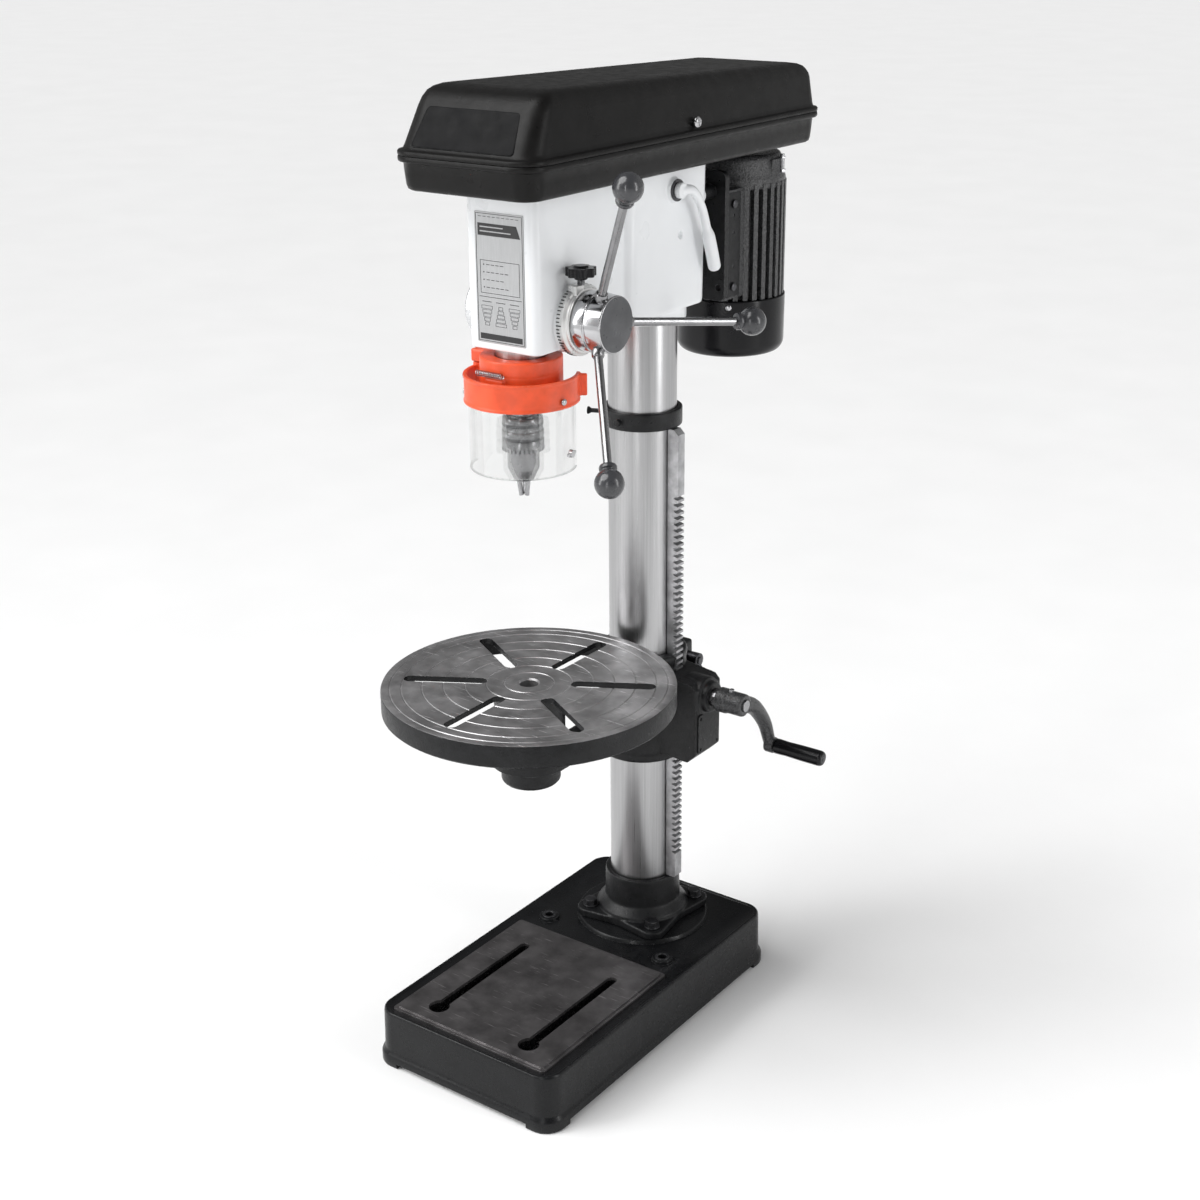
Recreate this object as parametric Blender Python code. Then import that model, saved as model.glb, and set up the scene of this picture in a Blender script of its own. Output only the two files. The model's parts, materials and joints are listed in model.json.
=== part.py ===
"""Bench drill press with a round tilting table, a rack-raised table bracket and a stepped-pulley belt drive.

Metres, +Z up.  The column axis is x = y = 0 and the machine stands on z = 0.  +X is the operator's
right, the operator stands at -Y, and the motor hangs at the back, at +Y.
"""

import math

import bmesh
import bpy
from mathutils import Matrix, Vector

# ---------------------------------------------------------------- driving dimensions
GAP = 0.0003                    # clearance between touching pieces
COLUMN_RADIUS = 0.040
SPINDLE_Y = -0.2227             # spindle axis in front of the column axis
TABLE_RADIUS = 0.1657
TABLE_TOP = 0.4694
BASE_TOP = 0.0714
HEAD_BOTTOM = 0.853
PAN_BOTTOM = 1.0183
LID_BOTTOM = 1.0540
COVER_TOP = 1.120
FEED_Y, FEED_Z = -0.190, 0.882  # feed shaft axis, along X
QUILL_RADIUS = 0.027
RACK_PITCH = 0.00785            # module 2.5 rack on the column
FEED_LEVER = 0.166              # feed axis to the ball's centre, square to the axis
CRANK_Y, CRANK_Z = -0.004, 0.398
CRANK_GRIP_Y, CRANK_GRIP_Z = 0.065, 0.320
TILT_Z = 0.372                  # table tilt axis, along Y
MOTOR_Y = 0.188                 # motor axis behind the column
IDLER_Y = -0.020
COVER_HALF_WIDTH = 0.0923
COVER_FRONT, COVER_BACK = -0.3168, 0.2451
HINGE_X = -0.0955               # belt cover hinge axis, along Y
GUARD_HINGE_X = -0.0585         # chuck guard hinge axis, along Z
KNOB_RADIUS = 0.0155
GEAR_X, GEAR_Z = 0.0695, 0.370  # axis of the gear that climbs the rack, along Y
GEAR_TEETH = 14
ROUNDNESS = 0.6                 # scales the number of sides of every turned piece

# ---------------------------------------------------------------- colours: (colour, roughness, metallic)
FINISHES = {
    "white_paint": ((0.80, 0.81, 0.82), 0.35, 0.0),
    "black_paint": ((0.020, 0.021, 0.023), 0.40, 0.0),
    "black_plastic": ((0.018, 0.018, 0.018), 0.50, 0.0),
    "machined_iron": ((0.20, 0.20, 0.21), 0.45, 0.9),
    "ground_steel": ((0.62, 0.62, 0.63), 0.22, 1.0),
    "dark_steel": ((0.10, 0.10, 0.11), 0.40, 0.9),
    "chrome": ((0.80, 0.80, 0.80), 0.12, 1.0),
    "aluminium": ((0.66, 0.67, 0.68), 0.35, 1.0),
    "red_plastic": ((0.72, 0.10, 0.035), 0.45, 0.0),
    "green_plastic": ((0.03, 0.30, 0.07), 0.45, 0.0),
    "clear_plastic": ((0.85, 0.88, 0.88), 0.08, 0.0),
    "rubber": ((0.025, 0.025, 0.025), 0.80, 0.0),
}

# ---------------------------------------------------------------- moving bodies: a point on each joint's axis
BODIES = {
    "frame": (0, 0, 0),
    "rack_body": (0, 0, 0),
    "table_carriage": (0, 0, TILT_Z),
    "pinion_gear": (GEAR_X, CRANK_Y, GEAR_Z),
    "table_crank": (0.12, CRANK_Y, CRANK_Z),
    "crank_handle": (0.18, CRANK_GRIP_Y, CRANK_GRIP_Z),
    "clamp_lever": (0, 0.066, 0.405),
    "table_support": (0, -0.0753, TILT_Z),
    "table_plate": (0, SPINDLE_Y, TABLE_TOP),
    "quill_body": (0, SPINDLE_Y, HEAD_BOTTOM),
    "spindle_body": (0, SPINDLE_Y, 0.78),
    "chuck_ring": (0, SPINDLE_Y, 0.737),
    "jaw_a": (0, SPINDLE_Y, 0.70),
    "jaw_b": (0, SPINDLE_Y, 0.70),
    "jaw_c": (0, SPINDLE_Y, 0.70),
    "guard": (GUARD_HINGE_X, SPINDLE_Y, 0.80),
    "feed": (0.06, FEED_Y, FEED_Z),
    "depth_stop": (0.06, FEED_Y, FEED_Z),
    "depth_lock": (0.0640, FEED_Y - 0.012, 0.925),
    "sleeve_pulley": (0, SPINDLE_Y, 1.05),
    "middle_pulley": (0, IDLER_Y, 1.05),
    "motor_carriage": (0, MOTOR_Y, 0.90),
    "motor_rotor": (0, MOTOR_Y, 1.05),
    "belt_lever": (0.058, -0.021, 0.993),
    "lid": (HINGE_X, 0, LID_BOTTOM),
    "lid_screw": (COVER_HALF_WIDTH, -0.027, 1.0673),
    "start": (-0.08, -0.143, 0.987),
    "stop": (-0.08, -0.143, 0.948),
}


def clear_scene():
    for thing in list(bpy.data.objects):
        bpy.data.objects.remove(thing, do_unlink=True)


def material(finish):
    """One Principled BSDF per finish, shared by the pieces that have it."""
    found = bpy.data.materials.get(finish)
    if found:
        return found
    colour, roughness, metallic = FINISHES[finish]
    made = bpy.data.materials.new(finish)
    made.use_nodes = True
    shader = made.node_tree.nodes["Principled BSDF"]
    shader.inputs["Base Color"].default_value = (*colour, 1.0)
    shader.inputs["Roughness"].default_value = roughness
    shader.inputs["Metallic"].default_value = metallic
    return made


def make_bodies():
    made = {}
    for name, place in BODIES.items():
        empty = bpy.data.objects.new(name + "_axis", None)
        empty.location = place
        bpy.context.collection.objects.link(empty)
        made[name] = empty
    return made


def add_piece(name, shape, finish, body="frame"):
    """Turns a bmesh in machine coordinates into an object whose origin is its body's joint."""
    shape.transform(Matrix.Translation(-Vector(BODIES[body])))
    mesh = bpy.data.meshes.new(name)
    shape.to_mesh(mesh)
    shape.free()
    mesh.shade_smooth()
    mesh.set_sharp_from_angle(angle=math.radians(32))
    mesh.materials.append(material(finish))
    piece = bpy.data.objects.new(name, mesh)
    piece.parent = bpy.data.objects[body + "_axis"]
    bpy.context.collection.objects.link(piece)
    return piece


def combine(piece, shape, operation):
    """Adds an exact Boolean of the shape, in machine coordinates, to the piece."""
    mesh = bpy.data.meshes.new(piece.name + "_tool")
    shape.to_mesh(mesh)
    shape.free()
    tool = bpy.data.objects.new(mesh.name, mesh)
    tool.hide_render = True
    tool.display_type = "WIRE"
    bpy.context.collection.objects.link(tool)
    step = piece.modifiers.new(operation.lower(), "BOOLEAN")
    step.operation = operation
    step.solver = "EXACT"
    step.object = tool


def add_to(piece, *shapes):
    for shape in shapes:
        combine(piece, shape, "UNION")


def cut_from(piece, *shapes):
    for shape in shapes:
        combine(piece, shape, "DIFFERENCE")


# ---------------------------------------------------------------- shapes in machine coordinates
def face_out(shape):
    bmesh.ops.recalc_face_normals(shape, faces=shape.faces)
    return shape


def box(low, high, bevel=0.0):
    shape = bmesh.new()
    bmesh.ops.create_cube(shape, size=1.0)
    low, high = Vector(low), Vector(high)
    for vert in shape.verts:
        vert.co = (low + high) / 2 + Vector(c * s for c, s in zip(vert.co, high - low))
    if bevel:
        bmesh.ops.bevel(shape, geom=shape.edges[:], offset=bevel, segments=1, affect="EDGES")
    return face_out(shape)


def on_axis(axis, radius_x, radius_y, along):
    """A point from two coordinates square to the axis and one along it."""
    return {"X": (along, radius_x, radius_y), "Y": (radius_x, along, radius_y),
            "Z": (radius_x, radius_y, along)}[axis]


def turned(profile, axis="Z", centre=(0, 0, 0), steps=32, ring=False):
    """Solid of revolution.  The profile is (radius, distance along the axis) points.

    A ring's profile is a closed loop; otherwise it starts and ends on the axis or is capped there.
    """
    shape = bmesh.new()
    centre = Vector(centre)
    steps = max(6, round(steps * ROUNDNESS))
    rows = []
    for radius, along in profile:
        if radius == 0:
            rows.append([shape.verts.new(centre + Vector(on_axis(axis, 0, 0, along)))] * steps)
            continue
        row = []
        for step in range(steps):
            angle = 2 * math.pi * step / steps
            place = on_axis(axis, radius * math.cos(angle), radius * math.sin(angle), along)
            row.append(shape.verts.new(centre + Vector(place)))
        rows.append(row)
    pairs = list(zip(rows, rows[1:])) + ([(rows[-1], rows[0])] if ring else [])
    for first, second in pairs:
        for step in range(steps):
            after = (step + 1) % steps
            corners = [first[step], first[after], second[after], second[step]]
            corners = list(dict.fromkeys(corners))
            if len(corners) > 2:
                shape.faces.new(corners)
    if not ring:
        for row in (rows[0], rows[-1]):
            if row[0] is not row[1]:
                shape.faces.new(row)
    return face_out(shape)


def rod(radius, low, high, axis="Z", centre=(0, 0, 0), steps=24, chamfer=0.0):
    """A round bar from low to high along an axis, with chamfered ends if asked."""
    if chamfer:
        profile = [(radius - chamfer, low), (radius, low + chamfer),
                   (radius, high - chamfer), (radius - chamfer, high)]
    else:
        profile = [(radius, low), (radius, high)]
    return turned(profile, axis, centre, steps)


def tube(outer, inner, low, high, axis="Z", centre=(0, 0, 0), steps=32, chamfer=0.0):
    profile = [(inner, low), (outer - chamfer, low), (outer, low + chamfer),
               (outer, high - chamfer), (outer - chamfer, high), (inner, high)]
    return turned(list(dict.fromkeys(profile)), axis, centre, steps, ring=True)


def loft(rings):
    """Closes a stack of equal rings of points with faces between them and a cap at each end."""
    shape = bmesh.new()
    rows = [[shape.verts.new(point) for point in ring] for ring in rings]
    count = len(rows[0])
    for first, second in zip(rows, rows[1:]):
        for i in range(count):
            j = (i + 1) % count
            shape.faces.new([first[i], first[j], second[j], second[i]])
    shape.faces.new(rows[0])
    shape.faces.new(rows[-1])
    return face_out(shape)


def prism(outline, low, high, axis="Z"):
    """Extrudes a flat outline, given square to the axis, from low to high."""
    return loft([[on_axis(axis, u, v, along) for u, v in outline] for along in (low, high)])


def rounded_rectangle(x_low, x_high, y_low, y_high, corner, steps=4):
    """Points counter-clockwise round a rectangle with quarter-circle corners."""
    corners = ((x_high - corner, y_high - corner, 0), (x_low + corner, y_high - corner, 90),
               (x_low + corner, y_low + corner, 180), (x_high - corner, y_low + corner, 270))
    points = []
    for x, y, start in corners:
        for step in range(steps + 1):
            angle = math.radians(start + 90 * step / steps)
            points.append((x + corner * math.cos(angle), y + corner * math.sin(angle)))
    return points


def arc(radius, start, end, steps, centre=(0, 0)):
    """Points along an arc, angles in degrees."""
    angles = [math.radians(start + (end - start) * i / steps) for i in range(steps + 1)]
    return [(centre[0] + radius * math.cos(a), centre[1] + radius * math.sin(a)) for a in angles]


def arc_wall(outer, inner, start, end, low, high, steps=16, centre=(0, 0)):
    """An upright curved wall between two radii."""
    outline = arc(outer, start, end, steps, centre) + arc(inner, end, start, steps, centre)
    return prism(outline, low, high)


def sweep(path, radii, sides=12):
    """A round bar along a path, with a radius for each of its points."""
    path = [Vector(point) for point in path]
    rings = []
    side = None
    for i, point in enumerate(path):
        ahead = (path[min(i + 1, len(path) - 1)] - path[max(i - 1, 0)]).normalized()
        if side is None:
            side = ahead.orthogonal().normalized()
        side = (side - ahead * side.dot(ahead)).normalized()
        up = ahead.cross(side)
        turn = [2 * math.pi * k / sides for k in range(sides)]
        rings.append([point + (side * math.cos(t) + up * math.sin(t)) * radii[i] for t in turn])
    return loft(rings)


def smooth_path(points, steps=5):
    """Catmull-Rom curve through the points."""
    points = [Vector(p) for p in points]
    ends = [2 * points[0] - points[1]] + points + [2 * points[-1] - points[-2]]
    path = []
    for i in range(1, len(ends) - 2):
        a, b, c, d = ends[i - 1:i + 3]
        for k in range(steps):
            t = k / steps
            path.append(0.5 * (2 * b + (c - a) * t + (2 * a - 5 * b + 4 * c - d) * t * t
                               + (3 * b - a - 3 * c + d) * t ** 3))
    return path + [points[-1]]


def hexagon(across, centre):
    radius = across / math.sqrt(3)
    return [(centre[0] + radius * math.cos(math.radians(60 * k + 30)),
             centre[1] + radius * math.sin(math.radians(60 * k + 30))) for k in range(6)]


def gear_outline(teeth, pitch_radius, depth, centre):
    """A toothed outline with four points a tooth."""
    points = []
    for tooth in range(teeth):
        for fraction, radius in ((-0.24, -depth), (-0.08, depth), (0.08, depth), (0.24, -depth)):
            angle = 2 * math.pi * (tooth + fraction) / teeth
            r = pitch_radius + radius
            points.append((centre[0] + r * math.cos(angle), centre[1] + r * math.sin(angle)))
    return points


# ---------------------------------------------------------------- base and column
BASE_HALF, BASE_FRONT, BASE_BACK = 0.1327, -0.3696, 0.0957
FOOT, FOOT_LENGTH = 0.0065, 0.036           # height and length of the corner feet
PAD_TOP = 0.0737
FLANGE_BOTTOM, FLANGE_TOP = 0.0750, 0.0850
FLANGE_HUB_TOP = 0.1380
SLOT_X = 0.0665                 # base slots, either side of the middle
BOLT_X = 0.0475                 # column bolts, in a square about the column


def base_ring(inset, z):
    corner = 0.026 - 0.5 * inset
    outline = rounded_rectangle(-BASE_HALF + inset, BASE_HALF - inset,
                                BASE_FRONT + inset, BASE_BACK - inset, corner)
    return [(x, y, z) for x, y in outline]


def make_base():
    """Cast base on four corner feet: drafted walls, a thin rim, a machined work pad with two slots."""
    steps = ((0.0010, 0), (0, 0.001), (0, 0.0140), (0.0030, 0.0175), (0.0040, BASE_TOP - 0.002),
             (0.0050, BASE_TOP), (0.0085, BASE_TOP), (0.0095, BASE_TOP - 0.0015))
    base = add_piece("base", loft([base_ring(*step) for step in steps]), "black_paint")
    boss_middles = [(side * 0.087, -0.083, 0) for side in (-1, 1)]
    for middle in boss_middles:
        add_to(base, rod(0.0125, 0.060, PAD_TOP, centre=middle, steps=20, chamfer=0.001))
    add_to(base, rod(0.0815, 0.060, FLANGE_BOTTOM - GAP, steps=40, chamfer=0.001))
    ledge = rounded_rectangle(-0.1115, 0.1115, -0.3545, -0.1110, 0.004, 2)
    pad = rounded_rectangle(-0.1072, 0.1072, -0.3504, -0.1153, 0.003, 2)
    add_to(base, prism(ledge, 0.060, PAD_TOP - 0.0017), prism(pad, 0.061, PAD_TOP))
    cut_from(base,
             box((-0.098, -0.345, -0.01), (0.098, -0.090, 0.056)),
             box((-BASE_HALF + FOOT_LENGTH, -1, -0.01), (BASE_HALF - FOOT_LENGTH, 1, FOOT)),
             box((-1, BASE_FRONT + FOOT_LENGTH, -0.01), (1, BASE_BACK - FOOT_LENGTH, FOOT)))
    add_to(base, rod(0.052, 0, FOOT + 0.004, steps=24))
    for side in (-1, 1):
        keyhole = (arc(0.0125, 125, 415, 12, (side * SLOT_X, -0.3230))
                   + arc(0.0065, 0, 180, 6, (side * SLOT_X, -0.1610)))
        cut_from(base, prism(keyhole, 0.040, 0.090))
    for middle in boss_middles:
        cut_from(base, rod(0.0055, 0.050, 0.090, centre=middle, steps=16))


def make_flange():
    """Column foot: a four-lobed plate with a tall sleeve."""
    lobes = []
    for quarter in range(4):
        angle = 45 + 90 * quarter
        middle = (BOLT_X * math.copysign(1, math.cos(math.radians(angle))),
                  BOLT_X * math.copysign(1, math.sin(math.radians(angle))))
        lobes += arc(0.0165, angle - 62, angle + 62, 6, middle)
        lobes += arc(0.058, angle + 40, angle + 50, 2)
    flange = add_piece("column_flange", prism(lobes, FLANGE_BOTTOM, FLANGE_TOP), "black_paint")
    sleeve = turned([(0.056, FLANGE_TOP - 0.004), (0.056, FLANGE_TOP + 0.004), (0.0475, FLANGE_TOP + 0.014),
                     (0.0465, FLANGE_HUB_TOP - 0.002), (0.0450, FLANGE_HUB_TOP)], steps=40)
    add_to(flange, sleeve)
    cut_from(flange, rod(COLUMN_RADIUS + GAP, 0.060, 0.160, steps=48))


def make_flange_bolts():
    for number, (x, y) in enumerate(((-1, -1), (1, -1), (1, 1), (-1, 1)), 1):
        place = (x * BOLT_X, y * BOLT_X)
        head = prism(hexagon(0.0145, place), FLANGE_TOP + GAP + 0.0012, FLANGE_TOP + 0.0095)
        washer = rod(0.0095, FLANGE_TOP + GAP, FLANGE_TOP + GAP + 0.0020, centre=(*place, 0), steps=20)
        add_to(add_piece(f"flange_bolt_{number}", head, "dark_steel"), washer)


def make_column():
    add_piece("column", tube(COLUMN_RADIUS, 0.0345, FLANGE_BOTTOM + GAP, 0.985, steps=64, chamfer=0.0008),
              "ground_steel")


RACK_LOW, RACK_HIGH = FLANGE_HUB_TOP + GAP, 0.7186
TEETH_LOW = GEAR_Z - 25.5 * RACK_PITCH
TEETH = 60
RACK_INNER, RACK_FACE = COLUMN_RADIUS + 0.0004, 0.0545


def make_rack():
    """Toothed bar that stands beside the column, held by the flange and the collar."""
    depth = 0.0055
    outline = [(RACK_INNER, RACK_LOW), (RACK_FACE - 0.0015, RACK_LOW), (RACK_FACE, RACK_LOW + 0.0015)]
    for tooth in range(TEETH):
        z = TEETH_LOW + tooth * RACK_PITCH
        for fraction, inset in ((0.20, 0.0), (0.36, depth), (0.64, depth), (0.80, 0.0)):
            outline.append((RACK_FACE - inset, z + fraction * RACK_PITCH))
    outline += [(RACK_FACE, RACK_HIGH - 0.006), (RACK_FACE - 0.006, RACK_HIGH), (RACK_INNER, RACK_HIGH)]
    add_piece("rack", prism(outline, -0.0070, 0.0070, "Y"), "ground_steel", "rack_body")


def make_collar():
    low, high = RACK_HIGH + 2 * GAP, RACK_HIGH + 0.0214
    ring = tube(0.0465, COLUMN_RADIUS + GAP, low, high, steps=48, chamfer=0.0015)
    collar = add_piece("rack_collar", ring, "black_paint")
    add_to(collar, rod(0.0037, -0.0530, -0.0450, "Y", (0, 0, (low + high) / 2), 12, 0.0006))


# ---------------------------------------------------------------- table
BRACKET_LOW, BRACKET_HIGH = 0.305, 0.440


def make_bracket():
    """Split sleeve on the column with a gear housing, a worm boss and the tilt face for the table."""
    bracket = add_piece("table_bracket", turned(
        [(0.052, BRACKET_LOW), (0.054, BRACKET_LOW + 0.002), (0.054, BRACKET_HIGH - 0.002),
         (0.052, BRACKET_HIGH)], steps=40), "black_paint", "table_carriage")
    housing = [(0.030, 0.319), (0.085, 0.315), (0.097, 0.327), (0.097, 0.410), (0.090, 0.417),
               (0.030, 0.425)]
    add_to(bracket,
           prism(housing, -0.029, 0.025, "Y"),
           rod(0.0190, 0.070, 0.106, "X", (0, CRANK_Y, CRANK_Z), 28, 0.0015),
           turned([(0.034, -0.0750), (0.034, -0.060), (0.040, -0.030)], "Y", (0, 0, TILT_Z), 32),
           box((-0.020, 0.040, 0.330), (0.020, 0.082, 0.425), 0.004))
    cut_from(bracket,
             rod(COLUMN_RADIUS + GAP, 0.29, 0.46, steps=48),
             box((0.030, -0.0074, 0.29), (RACK_FACE + 0.0006, 0.0074, 0.46)),
             box((-0.0015, 0.030, 0.29), (0.0015, 0.100, 0.46)),
             rod(0.0240, -0.0175, 0.0095, "Y", (GEAR_X, 0, GEAR_Z), 24),
             rod(0.0104, 0.040, 0.120, "X", (0, CRANK_Y, CRANK_Z), 20),
             rod(0.0055, -0.040, 0.040, "X", (0, 0.066, 0.405), 16))


def make_gear_train():
    """Worm on the crank shaft, and the gear that it turns against the column's rack."""
    pitch_radius = RACK_PITCH * GEAR_TEETH / (2 * math.pi)
    outline = gear_outline(GEAR_TEETH, pitch_radius, 0.0025, (GEAR_X, GEAR_Z))
    add_piece("rack_gear", prism(outline, -0.0165, 0.0085, "Y"), "dark_steel", "pinion_gear")
    worm = [(0, 0.0580)]
    for turn in range(4):
        start = 0.0580 + turn * RACK_PITCH
        worm += [(0.0058, start), (0.0082, start + 0.0025), (0.0058, start + 0.0050)]
    worm += [(0.0058, 0.0920), (0.0100, 0.0925), (0.0100, 0.1135), (0.0070, 0.1140), (0.0070, 0.1520),
             (0, 0.1520)]
    add_piece("worm_shaft", turned(worm, "X", (0, CRANK_Y, CRANK_Z), 20), "ground_steel", "table_crank")


def make_crank():
    """Crank: a hub clamped on the worm shaft, a swept arm and a turning grip."""
    hub = tube(0.0150, 0.0070 + GAP, 0.1142, 0.1500, "X", (0, CRANK_Y, CRANK_Z), 28, 0.0015)
    crank = add_piece("crank_arm", hub, "black_paint", "table_crank")
    path = smooth_path([(0.1400, CRANK_Y + 0.0100, CRANK_Z - 0.0030),
                        (0.1420, CRANK_Y + 0.0330, CRANK_Z - 0.0160),
                        (0.1430, CRANK_Y + 0.0560, CRANK_Z - 0.0440),
                        (0.1435, CRANK_GRIP_Y - 0.0010, CRANK_GRIP_Z + 0.0040)], 3)
    radii = [0.0105 - 0.0035 * i / (len(path) - 1) for i in range(len(path))]
    add_to(crank, sweep(path, radii, 8),
           rod(0.0100, 0.1400, 0.1520, "X", (0, CRANK_GRIP_Y, CRANK_GRIP_Z), 24, 0.0010),
           rod(0.0032, 0.1500, 0.2190, "X", (0, CRANK_GRIP_Y, CRANK_GRIP_Z), 12))
    cut_from(crank, rod(0.0070 + GAP, 0.1000, 0.1530, "X", (0, CRANK_Y, CRANK_Z), 20))
    grip = [(0.0036, 0.1525), (0.0080, 0.1525), (0.0095, 0.1560), (0.0095, 0.2150), (0.0085, 0.2195),
            (0.0036, 0.2195)]
    add_piece("crank_grip", turned(grip, "X", (0, CRANK_GRIP_Y, CRANK_GRIP_Z), 24, ring=True),
              "black_plastic", "crank_handle")


def make_clamp_lever():
    """Lever whose screw draws the split sleeve tight on the column."""
    lever = add_piece("column_clamp_lever", rod(0.0050, -0.0280, 0.0420, "X", (0, 0.066, 0.405), 16),
                      "dark_steel", "clamp_lever")
    handle = smooth_path([(0.0350, 0.066, 0.405), (0.0420, 0.069, 0.385), (0.0500, 0.073, 0.360),
                          (0.0530, 0.075, 0.342)], 3)
    add_to(lever, rod(0.0090, 0.0206, 0.0400, "X", (0, 0.066, 0.405), 20, 0.0008),
           rod(0.0085, -0.0280, -0.0206, "X", (0, 0.066, 0.405), 6),
           sweep(handle, [0.0040] * (len(handle) - 2) + [0.0055, 0.0050], 10))


ARM_HUB_TOP = 0.3730


def make_table_arm():
    """Tilting arm: a round face on the bracket, a beam and the socket for the table's stem."""
    face = turned([(0.034, -0.0922), (0.034, -0.0753)], "Y", (0, 0, TILT_Z), 32)
    arm = add_piece("table_arm", face, "black_paint", "table_support")
    add_to(arm,
           box((-0.019, -0.205, 0.350), (0.019, -0.085, 0.3715), 0.004),
           turned([(0.031, 0.349), (0.034, 0.352), (0.034, ARM_HUB_TOP)], "Z", (0, SPINDLE_Y, 0), 32))
    cut_from(arm, rod(0.0176, 0.330, 0.400, "Z", (0, SPINDLE_Y, 0), 28))


TABLE_RIM, TABLE_PLATE = 0.0265, 0.0065     # depth of the rim and thickness of the plate
SLOT_INNER, SLOT_OUTER = 0.0555, 0.1345     # centres of the rounded ends of a table slot
SLOT_HALF = 0.0080
TABLE_SLOTS = 6


def make_table():
    """Round table: a rimmed plate with through slots, a centre hole, a hub and a stem."""
    top, edge = TABLE_TOP, TABLE_RADIUS
    middle = (0, SPINDLE_Y, 0)
    profile = [(0, top - TABLE_PLATE), (edge - 0.0197, top - TABLE_PLATE), (edge - 0.0157, top - TABLE_RIM),
               (edge - 0.0015, top - TABLE_RIM), (edge, top - TABLE_RIM + 0.0015), (edge, top - 0.0010),
               (edge - 0.0010, top), (0, top)]
    table = add_piece("table", turned(profile, "Z", middle, 72), "machined_iron", "table_plate")
    hub_low = ARM_HUB_TOP + GAP
    stem = turned([(0.0170, 0.3520), (0.0170, hub_low), (0.0450, hub_low), (0.0450, 0.388),
                   (0.0400, 0.392), (0.0400, top - 0.5 * TABLE_PLATE)], "Z", middle, 32)
    add_to(table, stem)
    slot_outline = (arc(SLOT_HALF, 90, 270, 5, (SLOT_INNER, 0))
                    + arc(SLOT_HALF, -90, 90, 5, (SLOT_OUTER, 0)))
    for spoke in range(TABLE_SLOTS):
        angle = 2 * math.pi * (spoke + 0.5) / TABLE_SLOTS
        slot = prism(slot_outline, top - 0.060, top + 0.010)
        slot.transform(Matrix.Translation(middle) @ Matrix.Rotation(angle, 4, "Z"))
        cut_from(table, slot)
    cut_from(table, rod(0.0105, 0.340, top + 0.010, "Z", middle, 24))


# ---------------------------------------------------------------- head, quill and chuck
HEAD_FRONT, HEAD_HALF = -0.2535, 0.046     # front face and half width of the quill block
WEB_BOTTOM = 0.8725                        # underside between the quill block and the socket


def head_block(y_low, y_high, corner, z_low):
    return prism(rounded_rectangle(-HEAD_HALF, HEAD_HALF, y_low, y_high, corner), z_low, PAN_BOTTOM - GAP)


def make_head():
    """Head casting: quill block at the front, column socket at the back, feed and spring bosses."""
    head = add_piece("head_casting", head_block(HEAD_FRONT, -0.1700, 0.012, HEAD_BOTTOM), "white_paint")
    socket = [[(x, y, z) for x, y in rounded_rectangle(-w, w, -0.105, 0.056, 0.020, 4)]
              for w, z in ((0.0535, 0.8580), (0.0560, PAN_BOTTOM - 2 * GAP))]
    add_to(head,
           head_block(-0.2000, -0.0800, 0.004, WEB_BOTTOM),
           loft(socket),
           rod(0.0500, 0.8425, 0.8650, "Z", (0, 0, 0), 40, 0.0010),
           rod(0.0360, 0.0300, 0.0500, "X", (0, FEED_Y, FEED_Z), 36, 0.0010),
           rod(0.0330, -0.0500, -0.0300, "X", (0, FEED_Y, FEED_Z), 32, 0.0010),
           rod(0.0130, 0.0500, 0.0600, "X", (0, -0.021, 0.993), 20))
    for side in (-1, 1):
        add_to(head, rod(0.0140, 0.0300, 0.0600, "Y", (side * 0.032, 0, 0.975), 20))
    cut_from(head,
             rod(COLUMN_RADIUS + GAP, 0.830, 0.990, "Z", (0, 0, 0), 48),
             rod(QUILL_RADIUS + GAP, 0.840, 1.0300, "Z", (0, SPINDLE_Y, 0), 40),
             rod(0.0108, -0.070, 0.070, "X", (0, FEED_Y, FEED_Z), 24),
             rod(0.0042, 0.050, 0.070, "X", (0, -0.0048, 0.9417), 12),
             rod(0.0050, 0.040, 0.070, "X", (0, -0.021, 0.993), 16),
             box((-0.034, -0.190, 0.886), (0.034, -0.060, 1.0100)))
    for side in (-1, 1):
        cut_from(head, rod(0.0080 + GAP, 0.035, 0.080, "Y", (side * 0.032, 0, 0.975), 20))


QUILL_LOW, QUILL_HIGH = 0.7900, 1.0000


def make_quill():
    """Quill sleeve with the flat that carries its feed rack, and its lower bearing."""
    middle = (0, SPINDLE_Y, 0)
    sleeve = tube(QUILL_RADIUS, 0.0150, QUILL_LOW, QUILL_HIGH, "Z", middle, 40, 0.0008)
    quill = add_piece("quill", sleeve, "ground_steel", "quill_body")
    cut_from(quill, box((-0.0150, FEED_Y - 0.0104, 0.862), (0.0150, SPINDLE_Y + 0.040, 0.992)))
    bearing = tube(0.0147, 0.0088, QUILL_LOW + 0.0030, QUILL_LOW + 0.0150, "Z", middle, 28)
    add_piece("quill_bearing", bearing, "dark_steel", "quill_body")


CHUCK_TOP = 0.7800
SLEEVE_LOW, SLEEVE_HIGH = 0.7420, 0.7640
JAW_LOW, JAW_OFFSET = 0.6905, 0.0034
JAW_LEAN = math.radians(8)


def make_spindle():
    shaft = [(0, 0.7560), (0.0060, 0.7560), (0.0085, CHUCK_TOP), (0.0120, CHUCK_TOP + 0.0005),
             (0.0120, 0.7925), (0.0085, 0.7926), (0.0085, 1.0850), (0, 1.0850)]
    add_piece("spindle", turned(shaft, "Z", (0, SPINDLE_Y, 0), 24), "ground_steel", "spindle_body")


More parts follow.
